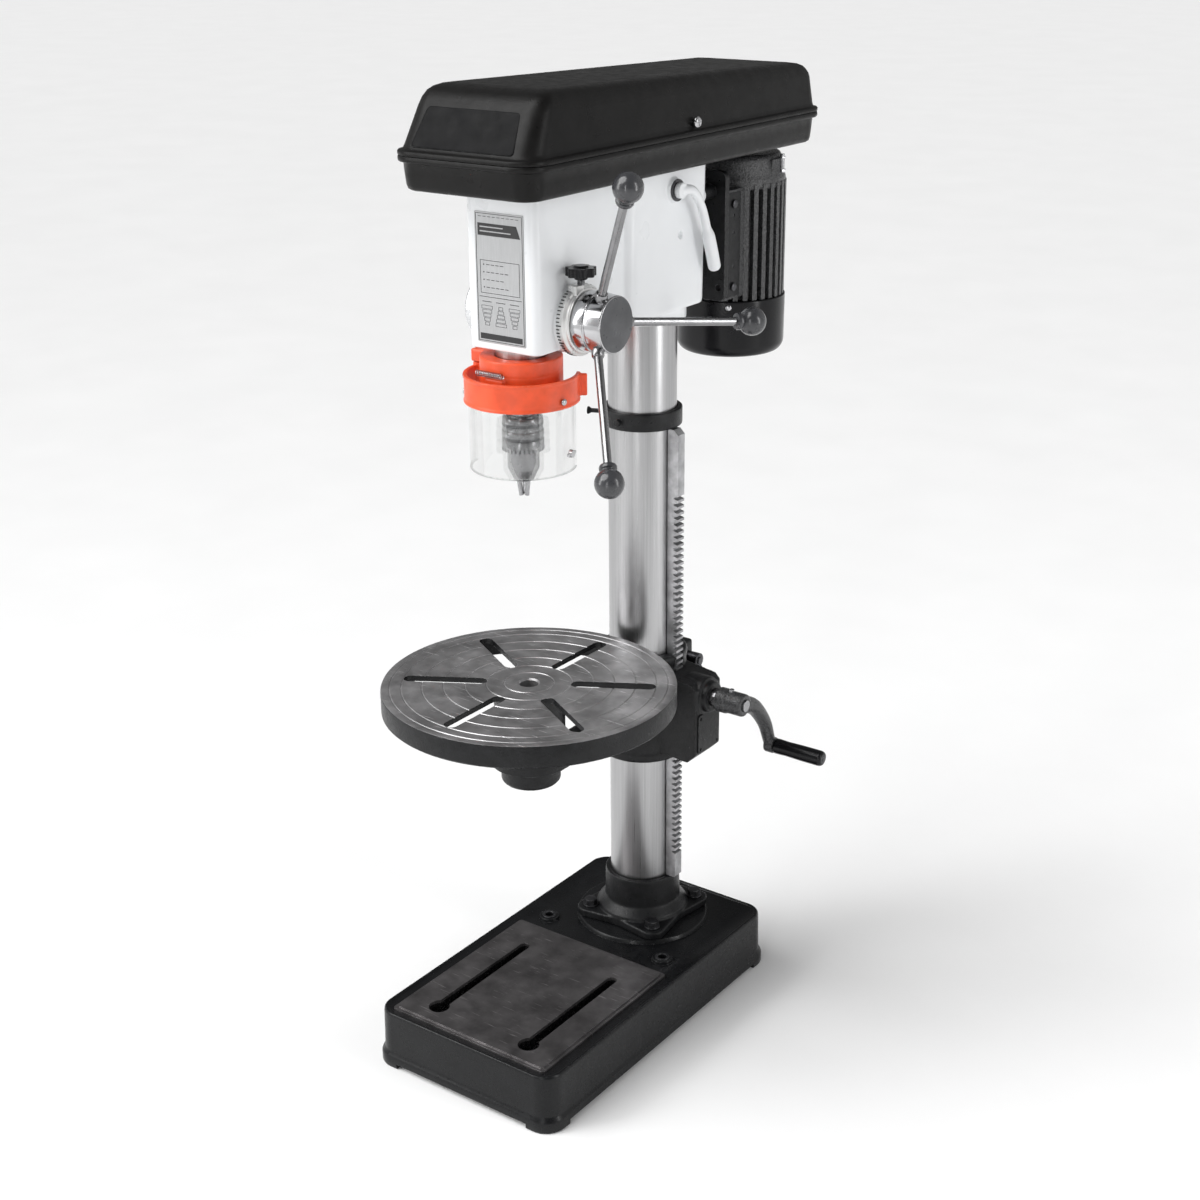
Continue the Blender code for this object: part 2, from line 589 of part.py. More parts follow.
def make_chuck():
    """Keyed three-jaw chuck: body, toothed ring and three sliding jaws."""
    middle = (0, SPINDLE_Y, 0)
    body = [(0.0088, CHUCK_TOP - GAP), (0.0190, CHUCK_TOP - GAP), (0.0218, CHUCK_TOP - 0.0030),
            (0.0218, SLEEVE_HIGH + 0.0006), (0.0202, SLEEVE_HIGH + 0.0004), (0.0202, SLEEVE_LOW),
            (0.0172, SLEEVE_LOW - 0.0010), (0.0172, 0.7215), (0.0106, 0.7085), (0.0096, 0.7080),
            (0.0124, 0.7300), (0.0124, 0.7440), (0.0088, 0.7500)]
    add_piece("chuck_body", turned(body, "Z", middle, 36, ring=True), "ground_steel", "spindle_body")
    ring = [(0.0205, SLEEVE_LOW), (0.0222, SLEEVE_LOW), (0.0226, SLEEVE_LOW + 0.001),
            (0.0226, SLEEVE_HIGH - 0.001), (0.0222, SLEEVE_HIGH), (0.0205, SLEEVE_HIGH)]
    add_piece("chuck_sleeve", turned(ring, "Z", middle, 36, ring=True), "dark_steel", "chuck_ring")
    for number, letter in enumerate("abc"):
        jaw = rod(0.0026, 0.0, 0.0300, "Z", (0, 0, 0), 12)
        lean = Matrix.Rotation(JAW_LEAN, 4, "Y")
        turn = Matrix.Rotation(math.radians(120 * number), 4, "Z")
        offset = Matrix.Translation((JAW_OFFSET, 0, 0))
        jaw.transform(Matrix.Translation((0, SPINDLE_Y, JAW_LOW)) @ turn @ offset @ lean)
        add_piece(f"chuck_jaw_{letter}", jaw, "ground_steel", f"jaw_{letter}")


def make_guard():
    """Chuck guard: a clamp ring on the quill, a hinged band and a clear curved shield."""
    middle = (0, SPINDLE_Y)
    ring = tube(0.0440, QUILL_RADIUS + GAP, 0.8130, 0.8450, "Z", (0, SPINDLE_Y, 0), 36, 0.0012)
    clamp = add_piece("guard_clamp", ring, "red_plastic", "quill_body")
    add_to(clamp, box((-0.064, SPINDLE_Y - 0.006, 0.8295), (-0.040, SPINDLE_Y + 0.006, 0.8435), 0.0015))
    spring_z = 0.8320
    coil = [(0.0026, -0.020), (0.0034, -0.018)]
    for turn in range(6):
        coil += [(0.0034, -0.0170 + 0.0060 * turn), (0.0026, -0.0140 + 0.0060 * turn)]
    coil += [(0.0034, 0.0200), (0.0026, 0.0220)]
    add_piece("guard_spring", turned(coil, "X", (-0.004, SPINDLE_Y - 0.0480, spring_z), 12), "chrome",
              "quill_body")
    wall = arc_wall(0.0615, 0.0575, 181, 396, 0.7960, 0.8260, 22, middle)
    band = add_piece("guard_band", wall, "red_plastic", "guard")
    lug = [(GUARD_HINGE_X + x, SPINDLE_Y + y) for x, y in arc(0.0055, 0, 330, 11)]
    tab = box((0.0580, -0.0020, 0.8000), (0.0690, 0.0020, 0.8240), 0.0010)
    tab.transform(Matrix.Translation((0, SPINDLE_Y, 0)) @ Matrix.Rotation(math.radians(35), 4, "Z"))
    add_to(band, prism(lug, 0.7960, 0.8290), tab)
    shield = arc_wall(0.0572, 0.0545, 192, 394, 0.7235, 0.8120, 22, middle)
    add_piece("guard_shield", shield, "clear_plastic", "guard")


# ---------------------------------------------------------------- feed
HUB_FACE, HUB_RADIUS = 0.1000, 0.0320


def make_feed():
    """Feed shaft with its pinion, the hub, three levers and their balls."""
    teeth = prism(gear_outline(14, 0.0084, 0.0012, (FEED_Y, FEED_Z)), -0.0135, 0.0135, "X")
    shaft = add_piece("feed_shaft", teeth, "ground_steel", "feed")
    add_to(shaft, rod(0.0062, -0.0720, 0.0640, "X", (0, FEED_Y, FEED_Z), 20),
           rod(0.0103, 0.0200, 0.0600, "X", (0, FEED_Y, FEED_Z), 24))
    hub = [(0, 0.0642), (HUB_RADIUS, 0.0642), (HUB_RADIUS, 0.0780), (HUB_RADIUS - 0.0015, 0.0790),
           (HUB_RADIUS - 0.0015, 0.0810), (HUB_RADIUS - 0.0005, 0.0820),
           (HUB_RADIUS - 0.0030, HUB_FACE - 0.0010), (HUB_RADIUS - 0.0040, HUB_FACE), (0, HUB_FACE)]
    add_piece("feed_hub", turned(hub, "X", (0, FEED_Y, FEED_Z), 40), "chrome", "feed")
    for number in range(3):
        angle = math.radians(-23.3 + 120 * number)
        out = Vector((0, math.sin(angle), math.cos(angle)))
        root = Vector((0.0880, FEED_Y, FEED_Z)) + out * (HUB_RADIUS + 0.0014)
        ball = Vector((0.1610, FEED_Y, FEED_Z)) + out * FEED_LEVER
        along = (ball - root).normalized()
        lever = sweep([root, ball - along * 0.0165], [0.0045, 0.0045], 12)
        add_piece(f"feed_lever_{number + 1}", lever, "chrome", "feed")
        profile = [(0, KNOB_RADIUS)]
        profile += [(KNOB_RADIUS * math.sin(math.pi * k / 9), KNOB_RADIUS * math.cos(math.pi * k / 9))
                    for k in range(1, 8)]
        profile += [(0.0080, -0.0140), (0.0090, -0.0160), (0.0085, -0.0200), (0.0050, -0.0200),
                    (0.0050, -0.0160), (0, -0.0160)]
        knob = turned(profile, "Z", (0, 0, 0), 20)
        knob.transform(Matrix.Translation(ball) @ along.to_track_quat("Z", "Y").to_matrix().to_4x4())
        add_piece(f"feed_knob_{number + 1}", knob, "black_plastic", "feed")


def make_depth_stop():
    """Graduated ring round the feed boss, and the knob that locks it."""
    dial = tube(0.0375, 0.0110, 0.0503, 0.0636, "X", (0, FEED_Y, FEED_Z), 48, 0.0010)
    ring = add_piece("depth_ring", dial, "aluminium", "depth_stop")
    lug_x, lug_y = BODIES["depth_lock"][:2]
    add_to(ring, box((0.0520, lug_y - 0.007, 0.9100), (0.0630, lug_y + 0.007, 0.9210), 0.0010))
    outline = gear_outline(10, 0.0155, 0.0012, (lug_x, lug_y))
    knob = add_piece("depth_lock_knob", prism(outline, 0.9300, 0.9400), "black_plastic", "depth_lock")
    add_to(knob, rod(0.0040, 0.9213, 0.9310, "Z", (lug_x, lug_y, 0), 12))


def make_return_spring():
    """Coil spring and its cap on the left end of the feed shaft."""
    cap = add_piece("spring_cap", rod(0.0330, -0.0760, -0.0503, "X", (0, FEED_Y, FEED_Z), 36, 0.0015),
                    "aluminium")
    cut_from(cap, rod(0.0295, -0.0730, -0.0400, "X", (0, FEED_Y, FEED_Z), 32))
    add_piece("return_spring", tube(0.0290, 0.0075, -0.0700, -0.0510, "X", (0, FEED_Y, FEED_Z), 24),
              "dark_steel")


# ---------------------------------------------------------------- belt drive and cover
STEP_HEIGHT = 0.0150
STEP_LOW = 1.0330
SPINDLE_STEPS = (0.060, 0.052, 0.044, 0.036)
MOTOR_STEPS = (0.036, 0.030, 0.024, 0.018)
IDLER_STEPS = (0.030, 0.036, 0.042, 0.048)
BELT_LEVEL_FRONT, BELT_LEVEL_REAR = 1, 2


def pulley(radii, y, bore):
    """A stack of V grooves."""
    profile = [(bore, STEP_LOW - 0.001)]
    for level, radius in enumerate(radii):
        z = STEP_LOW + level * STEP_HEIGHT
        profile += [(radius, z - 0.001 if level == 0 else z), (radius - 0.006, z + 0.0050),
                    (radius - 0.006, z + 0.0100), (radius, z + 0.0145)]
    profile += [(radii[-1], STEP_LOW + 4 * STEP_HEIGHT), (bore, STEP_LOW + 4 * STEP_HEIGHT)]
    return turned(profile, "Z", (0, y, 0), 30, ring=True)


def belt(first, second, level):
    """A flat-sided belt round two wheels, given as (y, radius)."""
    (y1, r1), (y2, r2) = first, second
    lean = math.degrees(math.asin((r2 - r1) / (y2 - y1)))

    def loop(grow):
        return (arc(r2 + grow, -lean, 180 + lean, 14, (0, y2))
                + arc(r1 + grow, 180 + lean, 360 - lean, 14, (0, y1)))

    z = STEP_LOW + level * STEP_HEIGHT
    low, high = z + 0.0054, z + 0.0096
    outer, inner = loop(0.0045), loop(0.0)
    rings = [[(x, y, height) for x, y in points]
             for points, height in ((inner, low), (outer, low), (outer, high), (inner, high))]
    shape = bmesh.new()
    rows = [[shape.verts.new(point) for point in ring] for ring in rings]
    count = len(rows[0])
    for i in range(4):
        for k in range(count):
            n = (k + 1) % count
            shape.faces.new([rows[i][k], rows[i][n], rows[(i + 1) % 4][n], rows[(i + 1) % 4][k]])
    return face_out(shape)


def make_drive():
    groove = 0.006 - 2 * GAP
    add_piece("spindle_pulley", pulley(SPINDLE_STEPS, SPINDLE_Y, 0.0088), "aluminium", "sleeve_pulley")
    add_piece("middle_pulley", pulley(IDLER_STEPS, IDLER_Y, 0.0080), "aluminium", "middle_pulley")
    add_piece("motor_pulley", pulley(MOTOR_STEPS, MOTOR_Y, 0.0073), "aluminium", "motor_rotor")
    add_piece("motor_shaft", rod(0.0070, 0.8600, 1.0950, "Z", (0, MOTOR_Y, 0), 20, 0.0008), "ground_steel",
              "motor_rotor")
    front, rear = BELT_LEVEL_FRONT, BELT_LEVEL_REAR
    add_piece("front_belt", belt((SPINDLE_Y, SPINDLE_STEPS[front] - groove),
                                 (IDLER_Y, IDLER_STEPS[front] - groove), front), "rubber")
    add_piece("rear_belt", belt((IDLER_Y, IDLER_STEPS[rear] - groove),
                                (MOTOR_Y, MOTOR_STEPS[rear] - groove), rear), "rubber")


def cover_ring(inset, z, front=0.0, droop=0.0):
    """Outline of the belt cover at one height; droop lowers its back."""
    corner = max(0.028 - inset, 0.010)
    outline = rounded_rectangle(-COVER_HALF_WIDTH + inset, COVER_HALF_WIDTH - inset,
                                COVER_FRONT + inset + front, COVER_BACK - inset, corner, 5)
    back = [max(0.0, (y - 0.03) / (COVER_BACK - 0.03)) for x, y in outline]
    return [(x, y, z - droop * share) for (x, y), share in zip(outline, back)]


def make_pan():
    """Lower half of the belt cover: an open tray with a lip and the middle pulley's post."""
    lip_low, lip_high = 1.0475, LID_BOTTOM - 0.0005
    rings = [cover_ring(0.0105, PAN_BOTTOM + 0.0030), cover_ring(0.0095, lip_low - 0.0015),
             cover_ring(0.0045, lip_high), cover_ring(0.0, lip_high), cover_ring(0.0, lip_low),
             cover_ring(0.0055, lip_low - 0.0010), cover_ring(0.0075, PAN_BOTTOM)]
    pan = add_piece("pulley_pan", loft(rings), "black_plastic")
    add_to(pan, turned([(0.0110, 1.0200), (0.0110, 1.0300), (0.0077, 1.0301), (0.0077, 1.0980)], "Z",
                       (0, IDLER_Y, 0), 20))
    motor_slot = (arc(0.0140, 0, 180, 8, (0, MOTOR_Y + 0.012))
                  + arc(0.0140, 180, 360, 8, (0, MOTOR_Y - 0.006)))
    cut_from(pan, rod(0.0290, 1.000, 1.040, "Z", (0, SPINDLE_Y, 0), 32), prism(motor_slot, 1.000, 1.040))


def make_lid():
    """Upper half of the belt cover: a hollow lid with a sloped front and a top that falls to the back."""
    droop = 0.0140
    outer = [cover_ring(0.0, LID_BOTTOM), cover_ring(0.0, LID_BOTTOM + 0.0045),
             cover_ring(0.0055, LID_BOTTOM + 0.0055),
             cover_ring(0.0105, 1.1000, 0.0190, droop * 0.6), cover_ring(0.0145, 1.1130, 0.0270, droop),
             cover_ring(0.0230, COVER_TOP, 0.0330, droop)]
    inner = [cover_ring(0.0250, COVER_TOP - 0.0030, 0.0330, droop),
             cover_ring(0.0175, 1.1105, 0.0270, droop),
             cover_ring(0.0135, 1.0990, 0.0190, droop * 0.6), cover_ring(0.0085, LID_BOTTOM + 0.0040),
             cover_ring(0.0060, LID_BOTTOM)]
    lid = add_piece("pulley_cover", loft(inner + outer), "black_plastic", "lid")
    cut_from(lid, rod(0.0028, 0.070, 0.110, "X", (0, -0.027, 1.0673), 12))
    screw = turned([(0, 0.0780), (0.0025, 0.0780), (0.0025, 0.0878), (0.0062, 0.0882), (0.0062, 0.0915),
                    (0.0048, 0.0928), (0, 0.0928)], "X", (0, -0.027, 1.0673), 16)
    add_piece("cover_screw", screw, "chrome", "lid_screw")


FIN_TOP, FIN_LOW = 0.975, 0.840


def make_motor():
    """Finned motor on a plate that slides on two rods, with a fan cover below."""
    middle = (0, MOTOR_Y, 0)
    teeth = gear_outline(20, 0.0600, 0.0038, (0, MOTOR_Y))
    motor = add_piece("motor_body", prism(teeth, FIN_LOW, FIN_TOP), "black_paint", "motor_carriage")
    bell = turned([(0.0620, FIN_TOP - 0.006), (0.0620, FIN_TOP + 0.006), (0.0560, 1.0060),
                   (0.0540, 1.0080)], "Z", middle, 36)
    foot = box((-0.045, 0.0985, FIN_LOW + 0.007), (0.045, 0.150, FIN_TOP - 0.001), 0.003)
    add_to(motor, bell, foot)
    cut_from(motor, rod(0.0074, 0.850, 1.020, "Z", middle, 20))
    fan = turned([(0.0560, 0.7700), (0.0630, 0.7740), (0.0655, 0.7800), (0.0655, FIN_LOW - GAP)], "Z",
                 middle, 40)
    cover = add_piece("motor_fan_cover", fan, "black_plastic", "motor_carriage")
    cut_from(cover, rod(0.0620, 0.7760, 0.850, "Z", middle, 36))
    outline = rounded_rectangle(-0.052, 0.052, 0.850, 0.998, 0.008, 3)
    plate = add_piece("motor_plate", prism(outline, 0.0903, 0.0982, "Y"), "black_paint", "motor_carriage")
    for side in (-1, 1):
        add_to(plate, rod(0.0080, 0.0360, 0.0930, "Y", (side * 0.032, 0, 0.975), 20, 0.0006))


def make_tension_lever():
    """Bent lever that swings the motor plate back to tighten the belts."""
    lever = add_piece("tension_lever", rod(0.0120, 0.0603, 0.0680, "X", (0, -0.021, 0.993), 24, 0.0010),
                      "white_paint", "belt_lever")
    path = smooth_path([(0.0650, -0.020, 0.9935), (0.0700, -0.004, 0.9910), (0.0700, 0.014, 0.9700),
                        (0.0690, 0.028, 0.9400), (0.0680, 0.038, 0.9180), (0.0675, 0.046, 0.8960)], 2)
    radii = [0.0058 if point[2] > 0.945 else 0.0088 for point in path]
    add_to(lever, sweep(path, radii, 10))
    cut_from(lever, rod(0.0052, 0.050, 0.0640, "X", (0, -0.021, 0.993), 16))


def make_switch():
    """Switch box on the left side with a start and a stop button."""
    housing = box((-0.0820, -0.178, 0.925), (-HEAD_HALF - GAP, -0.108, 1.006), 0.004)
    switch = add_piece("switch_box", housing, "black_plastic")
    for name, finish, radius in (("start", "green_plastic", 0.0100), ("stop", "red_plastic", 0.0130)):
        x, y, z = BODIES[name]
        cut_from(switch, rod(radius + 0.0005, -0.0900, -0.0700, "X", (0, y, z), 24))
        button = turned([(0, -0.0750), (radius - 0.002, -0.0750), (radius - 0.002, -0.0800),
                         (radius, -0.0800), (radius, -0.0855), (radius - 0.0015, -0.0870),
                         (0, -0.0870)], "X", (0, y, z), 24)
        add_piece(name + "_button", button, finish, name)


def main():
    clear_scene()
    make_bodies()
    for make in (make_base, make_flange, make_flange_bolts, make_column, make_rack, make_collar,
                 make_bracket, make_gear_train, make_crank, make_clamp_lever, make_table_arm,
                 make_table, make_head, make_quill, make_spindle, make_chuck, make_guard, make_feed,
                 make_depth_stop, make_return_spring, make_drive, make_pan, make_lid, make_motor,
                 make_tension_lever, make_switch):
        make()


main()
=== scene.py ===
"""Looks of the drill press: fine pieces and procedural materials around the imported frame."""
import json
import math

import bmesh
import bpy
from mathutils import Matrix, Vector


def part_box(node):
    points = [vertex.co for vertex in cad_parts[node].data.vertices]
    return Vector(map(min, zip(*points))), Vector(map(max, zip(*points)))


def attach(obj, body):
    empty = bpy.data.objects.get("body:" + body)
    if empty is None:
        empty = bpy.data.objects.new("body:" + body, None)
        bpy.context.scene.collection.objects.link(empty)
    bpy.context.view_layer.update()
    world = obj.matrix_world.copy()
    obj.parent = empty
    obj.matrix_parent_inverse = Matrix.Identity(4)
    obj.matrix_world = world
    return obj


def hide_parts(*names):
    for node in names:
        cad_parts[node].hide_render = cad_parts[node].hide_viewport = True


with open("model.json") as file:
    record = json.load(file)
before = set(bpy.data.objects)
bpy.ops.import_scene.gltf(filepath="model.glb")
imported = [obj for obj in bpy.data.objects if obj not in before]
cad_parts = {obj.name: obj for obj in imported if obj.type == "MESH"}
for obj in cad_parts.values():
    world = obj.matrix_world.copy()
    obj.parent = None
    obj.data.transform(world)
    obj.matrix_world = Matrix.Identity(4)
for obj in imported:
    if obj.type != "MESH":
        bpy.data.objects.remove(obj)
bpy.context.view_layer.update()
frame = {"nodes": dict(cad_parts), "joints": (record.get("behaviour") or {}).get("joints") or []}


# ---------------------------------------------------------------- camera
CAMERA_PLACE = (1.1972, -1.7251, 1.3128)
CAMERA_LENS, CAMERA_SENSOR = 56.13, 36.0


def make_camera():
    """Three-quarter view from the front right, a little above the table."""
    azimuth, elevation, roll = 0.631, 0.3703, -0.0091
    back = Vector((math.sin(azimuth) * math.cos(elevation), -math.cos(azimuth) * math.cos(elevation),
                   math.sin(elevation)))
    side = Vector((0, 0, 1)).cross(back).normalized()
    up = back.cross(side)
    turned_side = side * math.cos(roll) + up * math.sin(roll)
    turned_up = up * math.cos(roll) - side * math.sin(roll)
    data = bpy.data.cameras.new("camera")
    data.lens, data.sensor_width = CAMERA_LENS, CAMERA_SENSOR
    camera = bpy.data.objects.new("camera", data)
    turned_axes = Matrix((turned_side, turned_up, back)).transposed().to_4x4()
    camera.matrix_world = Matrix.Translation(CAMERA_PLACE) @ turned_axes
    bpy.context.collection.objects.link(camera)
    bpy.context.scene.camera = camera
    bpy.context.scene.view_settings.view_transform = "Standard"


make_camera()

# ---------------------------------------------------------------- places taken from the frame
JOINTS = {joint["name"]: joint for joint in frame["joints"]}
BODY_POINT = {joint["child"]: joint["pos_m"] for joint in frame["joints"] if "pos_m" in joint}
COLUMN_RADIUS = 0.040
SPINDLE_Y = JOINTS["sleeve_spin"]["pos_m"][1]
FEED_Y, FEED_Z = JOINTS["feed_turn"]["pos_m"][1:]
MOTOR_Y = JOINTS["motor_spin"]["pos_m"][1]
CRANK_Y, CRANK_Z = JOINTS["crank_turn"]["pos_m"][1:]
GRIP_Y, GRIP_Z = JOINTS["grip_spin"]["pos_m"][1:]
TILT_Z = JOINTS["table_tilt"]["pos_m"][2]
TABLE_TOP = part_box("table")[1][2]
BASE_LOW, BASE_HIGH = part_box("base")
PAD_TOP = BASE_HIGH[2] - 0.001
GUARD_X = JOINTS["guard_swing"]["pos_m"][0]


# ---------------------------------------------------------------- shapes
def face_out(shape):
    bmesh.ops.recalc_face_normals(shape, faces=shape.faces)
    return shape


def on_axis(axis, u, v, along):
    return {"X": (along, u, v), "Y": (u, along, v), "Z": (u, v, along)}[axis]


def turned(profile, axis="Z", centre=(0, 0, 0), steps=64, ring=False):
    """Solid of revolution of (radius, distance along the axis) points."""
    shape = bmesh.new()
    centre = Vector(centre)
    rows = []
    for radius, along in profile:
        if radius == 0:
            rows.append([shape.verts.new(centre + Vector(on_axis(axis, 0, 0, along)))] * steps)
            continue
        turns = [2 * math.pi * step / steps for step in range(steps)]
        rows.append([shape.verts.new(centre + Vector(on_axis(axis, radius * math.cos(t),
                                                             radius * math.sin(t), along)))
                     for t in turns])
    for first, second in list(zip(rows, rows[1:])) + ([(rows[-1], rows[0])] if ring else []):
        for step in range(steps):
            after = (step + 1) % steps
            corners = list(dict.fromkeys([first[step], first[after], second[after], second[step]]))
            if len(corners) > 2:
                shape.faces.new(corners)
    if not ring:
        for row in (rows[0], rows[-1]):
            if row[0] is not row[1]:
                shape.faces.new(row)
    return face_out(shape)


def eased(profile, radius, steps=3, ring=False):
    """Rounds a profile's corners with small arcs."""
    points = [Vector(p) for p in profile]
    count = len(points)
    out = []
    for i, point in enumerate(points):
        if not ring and i in (0, count - 1):
            out.append(tuple(point))
            continue
        back, ahead = points[i - 1] - point, points[(i + 1) % count] - point
        reach = min(radius, back.length * 0.45, ahead.length * 0.45)
        start, end = point + back.normalized() * reach, point + ahead.normalized() * reach
        for k in range(steps + 1):
            t = k / steps
            out.append(tuple((1 - t) ** 2 * start + 2 * t * (1 - t) * point + t ** 2 * end))
    return out


def rod(radius, low, high, axis="Z", centre=(0, 0, 0), steps=48, ease=0.0008):
    profile = eased([(0, low), (radius, low), (radius, high), (0, high)], ease)
    return turned(profile, axis, centre, steps)


def tube(outer, inner, low, high, axis="Z", centre=(0, 0, 0), steps=64, ease=0.0008):
    profile = eased([(inner, low), (outer, low), (outer, high), (inner, high)], ease, 3, True)
    return turned(profile, axis, centre, steps, True)


def loft(rings, closed=False):
    shape = bmesh.new()
    rows = [[shape.verts.new(point) for point in ring] for ring in rings]
    count = len(rows[0])
    for first, second in list(zip(rows, rows[1:])) + ([(rows[-1], rows[0])] if closed else []):
        for i in range(count):
            j = (i + 1) % count
            shape.faces.new([first[i], first[j], second[j], second[i]])
    if not closed:
        shape.faces.new(rows[0])
        shape.faces.new(rows[-1])
    return face_out(shape)


def prism(outline, low, high, axis="Z"):
    return loft([[on_axis(axis, u, v, along) for u, v in outline] for along in (low, high)])


def box(low, high, bevel=0.0, segments=2):
    shape = bmesh.new()
    bmesh.ops.create_cube(shape, size=1.0)
    low, high = Vector(low), Vector(high)
    for vert in shape.verts:
        vert.co = (low + high) / 2 + Vector(c * s for c, s in zip(vert.co, high - low))
    if bevel:
        bmesh.ops.bevel(shape, geom=shape.edges[:], offset=bevel, segments=segments, profile=0.6,
                        affect="EDGES")
    return face_out(shape)


def rounded_rectangle(x_low, x_high, y_low, y_high, corner, steps=8):
    corners = ((x_high - corner, y_high - corner, 0), (x_low + corner, y_high - corner, 90),
               (x_low + corner, y_low + corner, 180), (x_high - corner, y_low + corner, 270))
    points = []
    for x, y, start in corners:
        for step in range(steps + 1):
            angle = math.radians(start + 90 * step / steps)
            points.append((x + corner * math.cos(angle), y + corner * math.sin(angle)))
    return points


def arc(radius, start, end, steps, centre=(0, 0)):
    angles = [math.radians(start + (end - start) * i / steps) for i in range(steps + 1)]
    return [(centre[0] + radius * math.cos(a), centre[1] + radius * math.sin(a)) for a in angles]


def arc_wall(outer, inner, start, end, low, high, steps=48, centre=(0, 0)):
    return prism(arc(outer, start, end, steps, centre) + arc(inner, end, start, steps, centre), low, high)


def smooth_path(points, steps=8):
    points = [Vector(p) for p in points]
    ends = [2 * points[0] - points[1]] + points + [2 * points[-1] - points[-2]]
    path = []
    for i in range(1, len(ends) - 2):
        a, b, c, d = ends[i - 1:i + 3]
        for k in range(steps):
            t = k / steps
            path.append(0.5 * (2 * b + (c - a) * t + (2 * a - 5 * b + 4 * c - d) * t * t
                               + (3 * b - a - 3 * c + d) * t ** 3))
    return path + [points[-1]]


def sweep(path, radii, sides=24, squash=1.0):
    path = [Vector(point) for point in path]
    rings, side = [], None
    for i, point in enumerate(path):
        ahead = (path[min(i + 1, len(path) - 1)] - path[max(i - 1, 0)]).normalized()
        side = side or ahead.orthogonal()
        side = (side - ahead * side.dot(ahead)).normalized()
        up = ahead.cross(side)
        turn = [2 * math.pi * k / sides for k in range(sides)]
        rings.append([point + (side * math.cos(t) * squash + up * math.sin(t)) * radii[i] for t in turn])
    return loft(rings)


def star(count, radius, depth, centre, width=(0.30, 0.14)):
    """Outline of a toothed or finned wheel."""
    points = []
    for tooth in range(count):
        for fraction, r in ((-width[0], -depth), (-width[1], depth), (width[1], depth), (width[0], -depth)):
            angle = 2 * math.pi * (tooth + fraction) / count
            points.append((centre[0] + (radius + r) * math.cos(angle),
                           centre[1] + (radius + r) * math.sin(angle)))
    return points


def hexagon(across, centre):
    radius = across / math.sqrt(3)
    return [(centre[0] + radius * math.cos(math.radians(60 * k + 30)),
             centre[1] + radius * math.sin(math.radians(60 * k + 30))) for k in range(6)]


def joined(*shapes):
    """Several bodies in one mesh, without cutting them into each other."""
    whole = bmesh.new()
    for shape in shapes:
        mesh = bpy.data.meshes.new("part")
        shape.to_mesh(mesh)
        shape.free()
        whole.from_mesh(mesh)
        bpy.data.meshes.remove(mesh)
    return whole


def as_object(name, shape):
    mesh = bpy.data.meshes.new(name)
    shape.to_mesh(mesh)
    shape.free()
    made = bpy.data.objects.new(name, mesh)
    bpy.context.collection.objects.link(made)
    return made


def settle(made):
    """Applies the modifiers of an object."""
    bpy.context.view_layer.update()
    graph = bpy.context.evaluated_depsgraph_get()
    mesh = bpy.data.meshes.new_from_object(made.evaluated_get(graph))
    made.modifiers.clear()
    made.data = mesh


def cut(name, shapes, holes):
    """Joins overlapping shapes into one body and cuts the holes out of it."""
    made = as_object(name, joined(*shapes))
    if holes:
        tool = as_object("tool", joined(*holes))
        step = made.modifiers.new("cut", "BOOLEAN")
        step.operation, step.solver, step.object, step.use_self = "DIFFERENCE", "EXACT", tool, True
        settle(made)
        bpy.data.objects.remove(tool)
    return made


def cast(name, shapes, holes=(), voxel=0.0014, passes=6):
    """Joins shapes into one casting with soft fillets: a voxel remesh, smoothed."""
    made = cut(name, shapes, holes)
    step = made.modifiers.new("melt", "REMESH")
    step.mode, step.voxel_size = "VOXEL", voxel
    settle(made)
    step = made.modifiers.new("soften", "SMOOTH")
    step.factor, step.iterations = 0.5, passes
    settle(made)
    return made


def show(made, look, body, replaces=(), angle=35):
    """Shades a piece, gives it its material and body, and hides the CAD nodes it stands for."""
    if made.type == "MESH":
        made.data.shade_smooth()
        made.data.set_sharp_from_angle(angle=math.radians(angle))
    made.data.materials.clear()
    made.data.materials.append(look)
    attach(made, body)
    if replaces:
        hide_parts(*replaces)
    return made


# ---------------------------------------------------------------- materials
def node(tree, kind, links=(), **settings):
    made = tree.nodes.new("ShaderNode" + kind)
    for key, value in settings.items():
        setattr(made, key, value)
    for socket, source in dict(links).items():
        if isinstance(source, (int, float, tuple)):
            made.inputs[socket].default_value = source
        else:
            tree.links.new(source, made.inputs[socket])
    return made


def noise(tree, scale, detail=4.0, stretch=(1, 1, 1), rough=0.55):
    place = tree.nodes.get("place") or node(tree, "TexCoord", name="place")
    mapped = node(tree, "Mapping", {"Vector": place.outputs["Object"], "Scale": stretch})
    return node(tree, "TexNoise", {"Vector": mapped.outputs[0], "Scale": scale, "Detail": detail,
                                   "Roughness": rough}).outputs["Fac"]


def spread(tree, value, low, high, out_low=0.0, out_high=1.0):
    return node(tree, "MapRange", {"Value": value, "From Min": low, "From Max": high, "To Min": out_low,
                                   "To Max": out_high}).outputs["Result"]


def mix(tree, amount, first, second):
    made = node(tree, "Mix", data_type="RGBA")
    for index, source in ((0, amount), (6, first), (7, second)):
        if isinstance(source, (int, float, tuple)):
            made.inputs[index].default_value = source
        else:
            tree.links.new(source, made.inputs[index])
    return made.outputs[2]


def edge_mask(tree, radius):
    """Near 1 on convex and concave edges, by comparing the true normal with a rounded one."""
    round_normal = node(tree, "Bevel", {"Radius": radius}, samples=4).outputs[0]
    flat = node(tree, "NewGeometry").outputs["Normal"]
    dot = node(tree, "VectorMath", operation="DOT_PRODUCT")
    tree.links.new(round_normal, dot.inputs[0])
    tree.links.new(flat, dot.inputs[1])
    return spread(tree, dot.outputs["Value"], 0.99, 0.90)


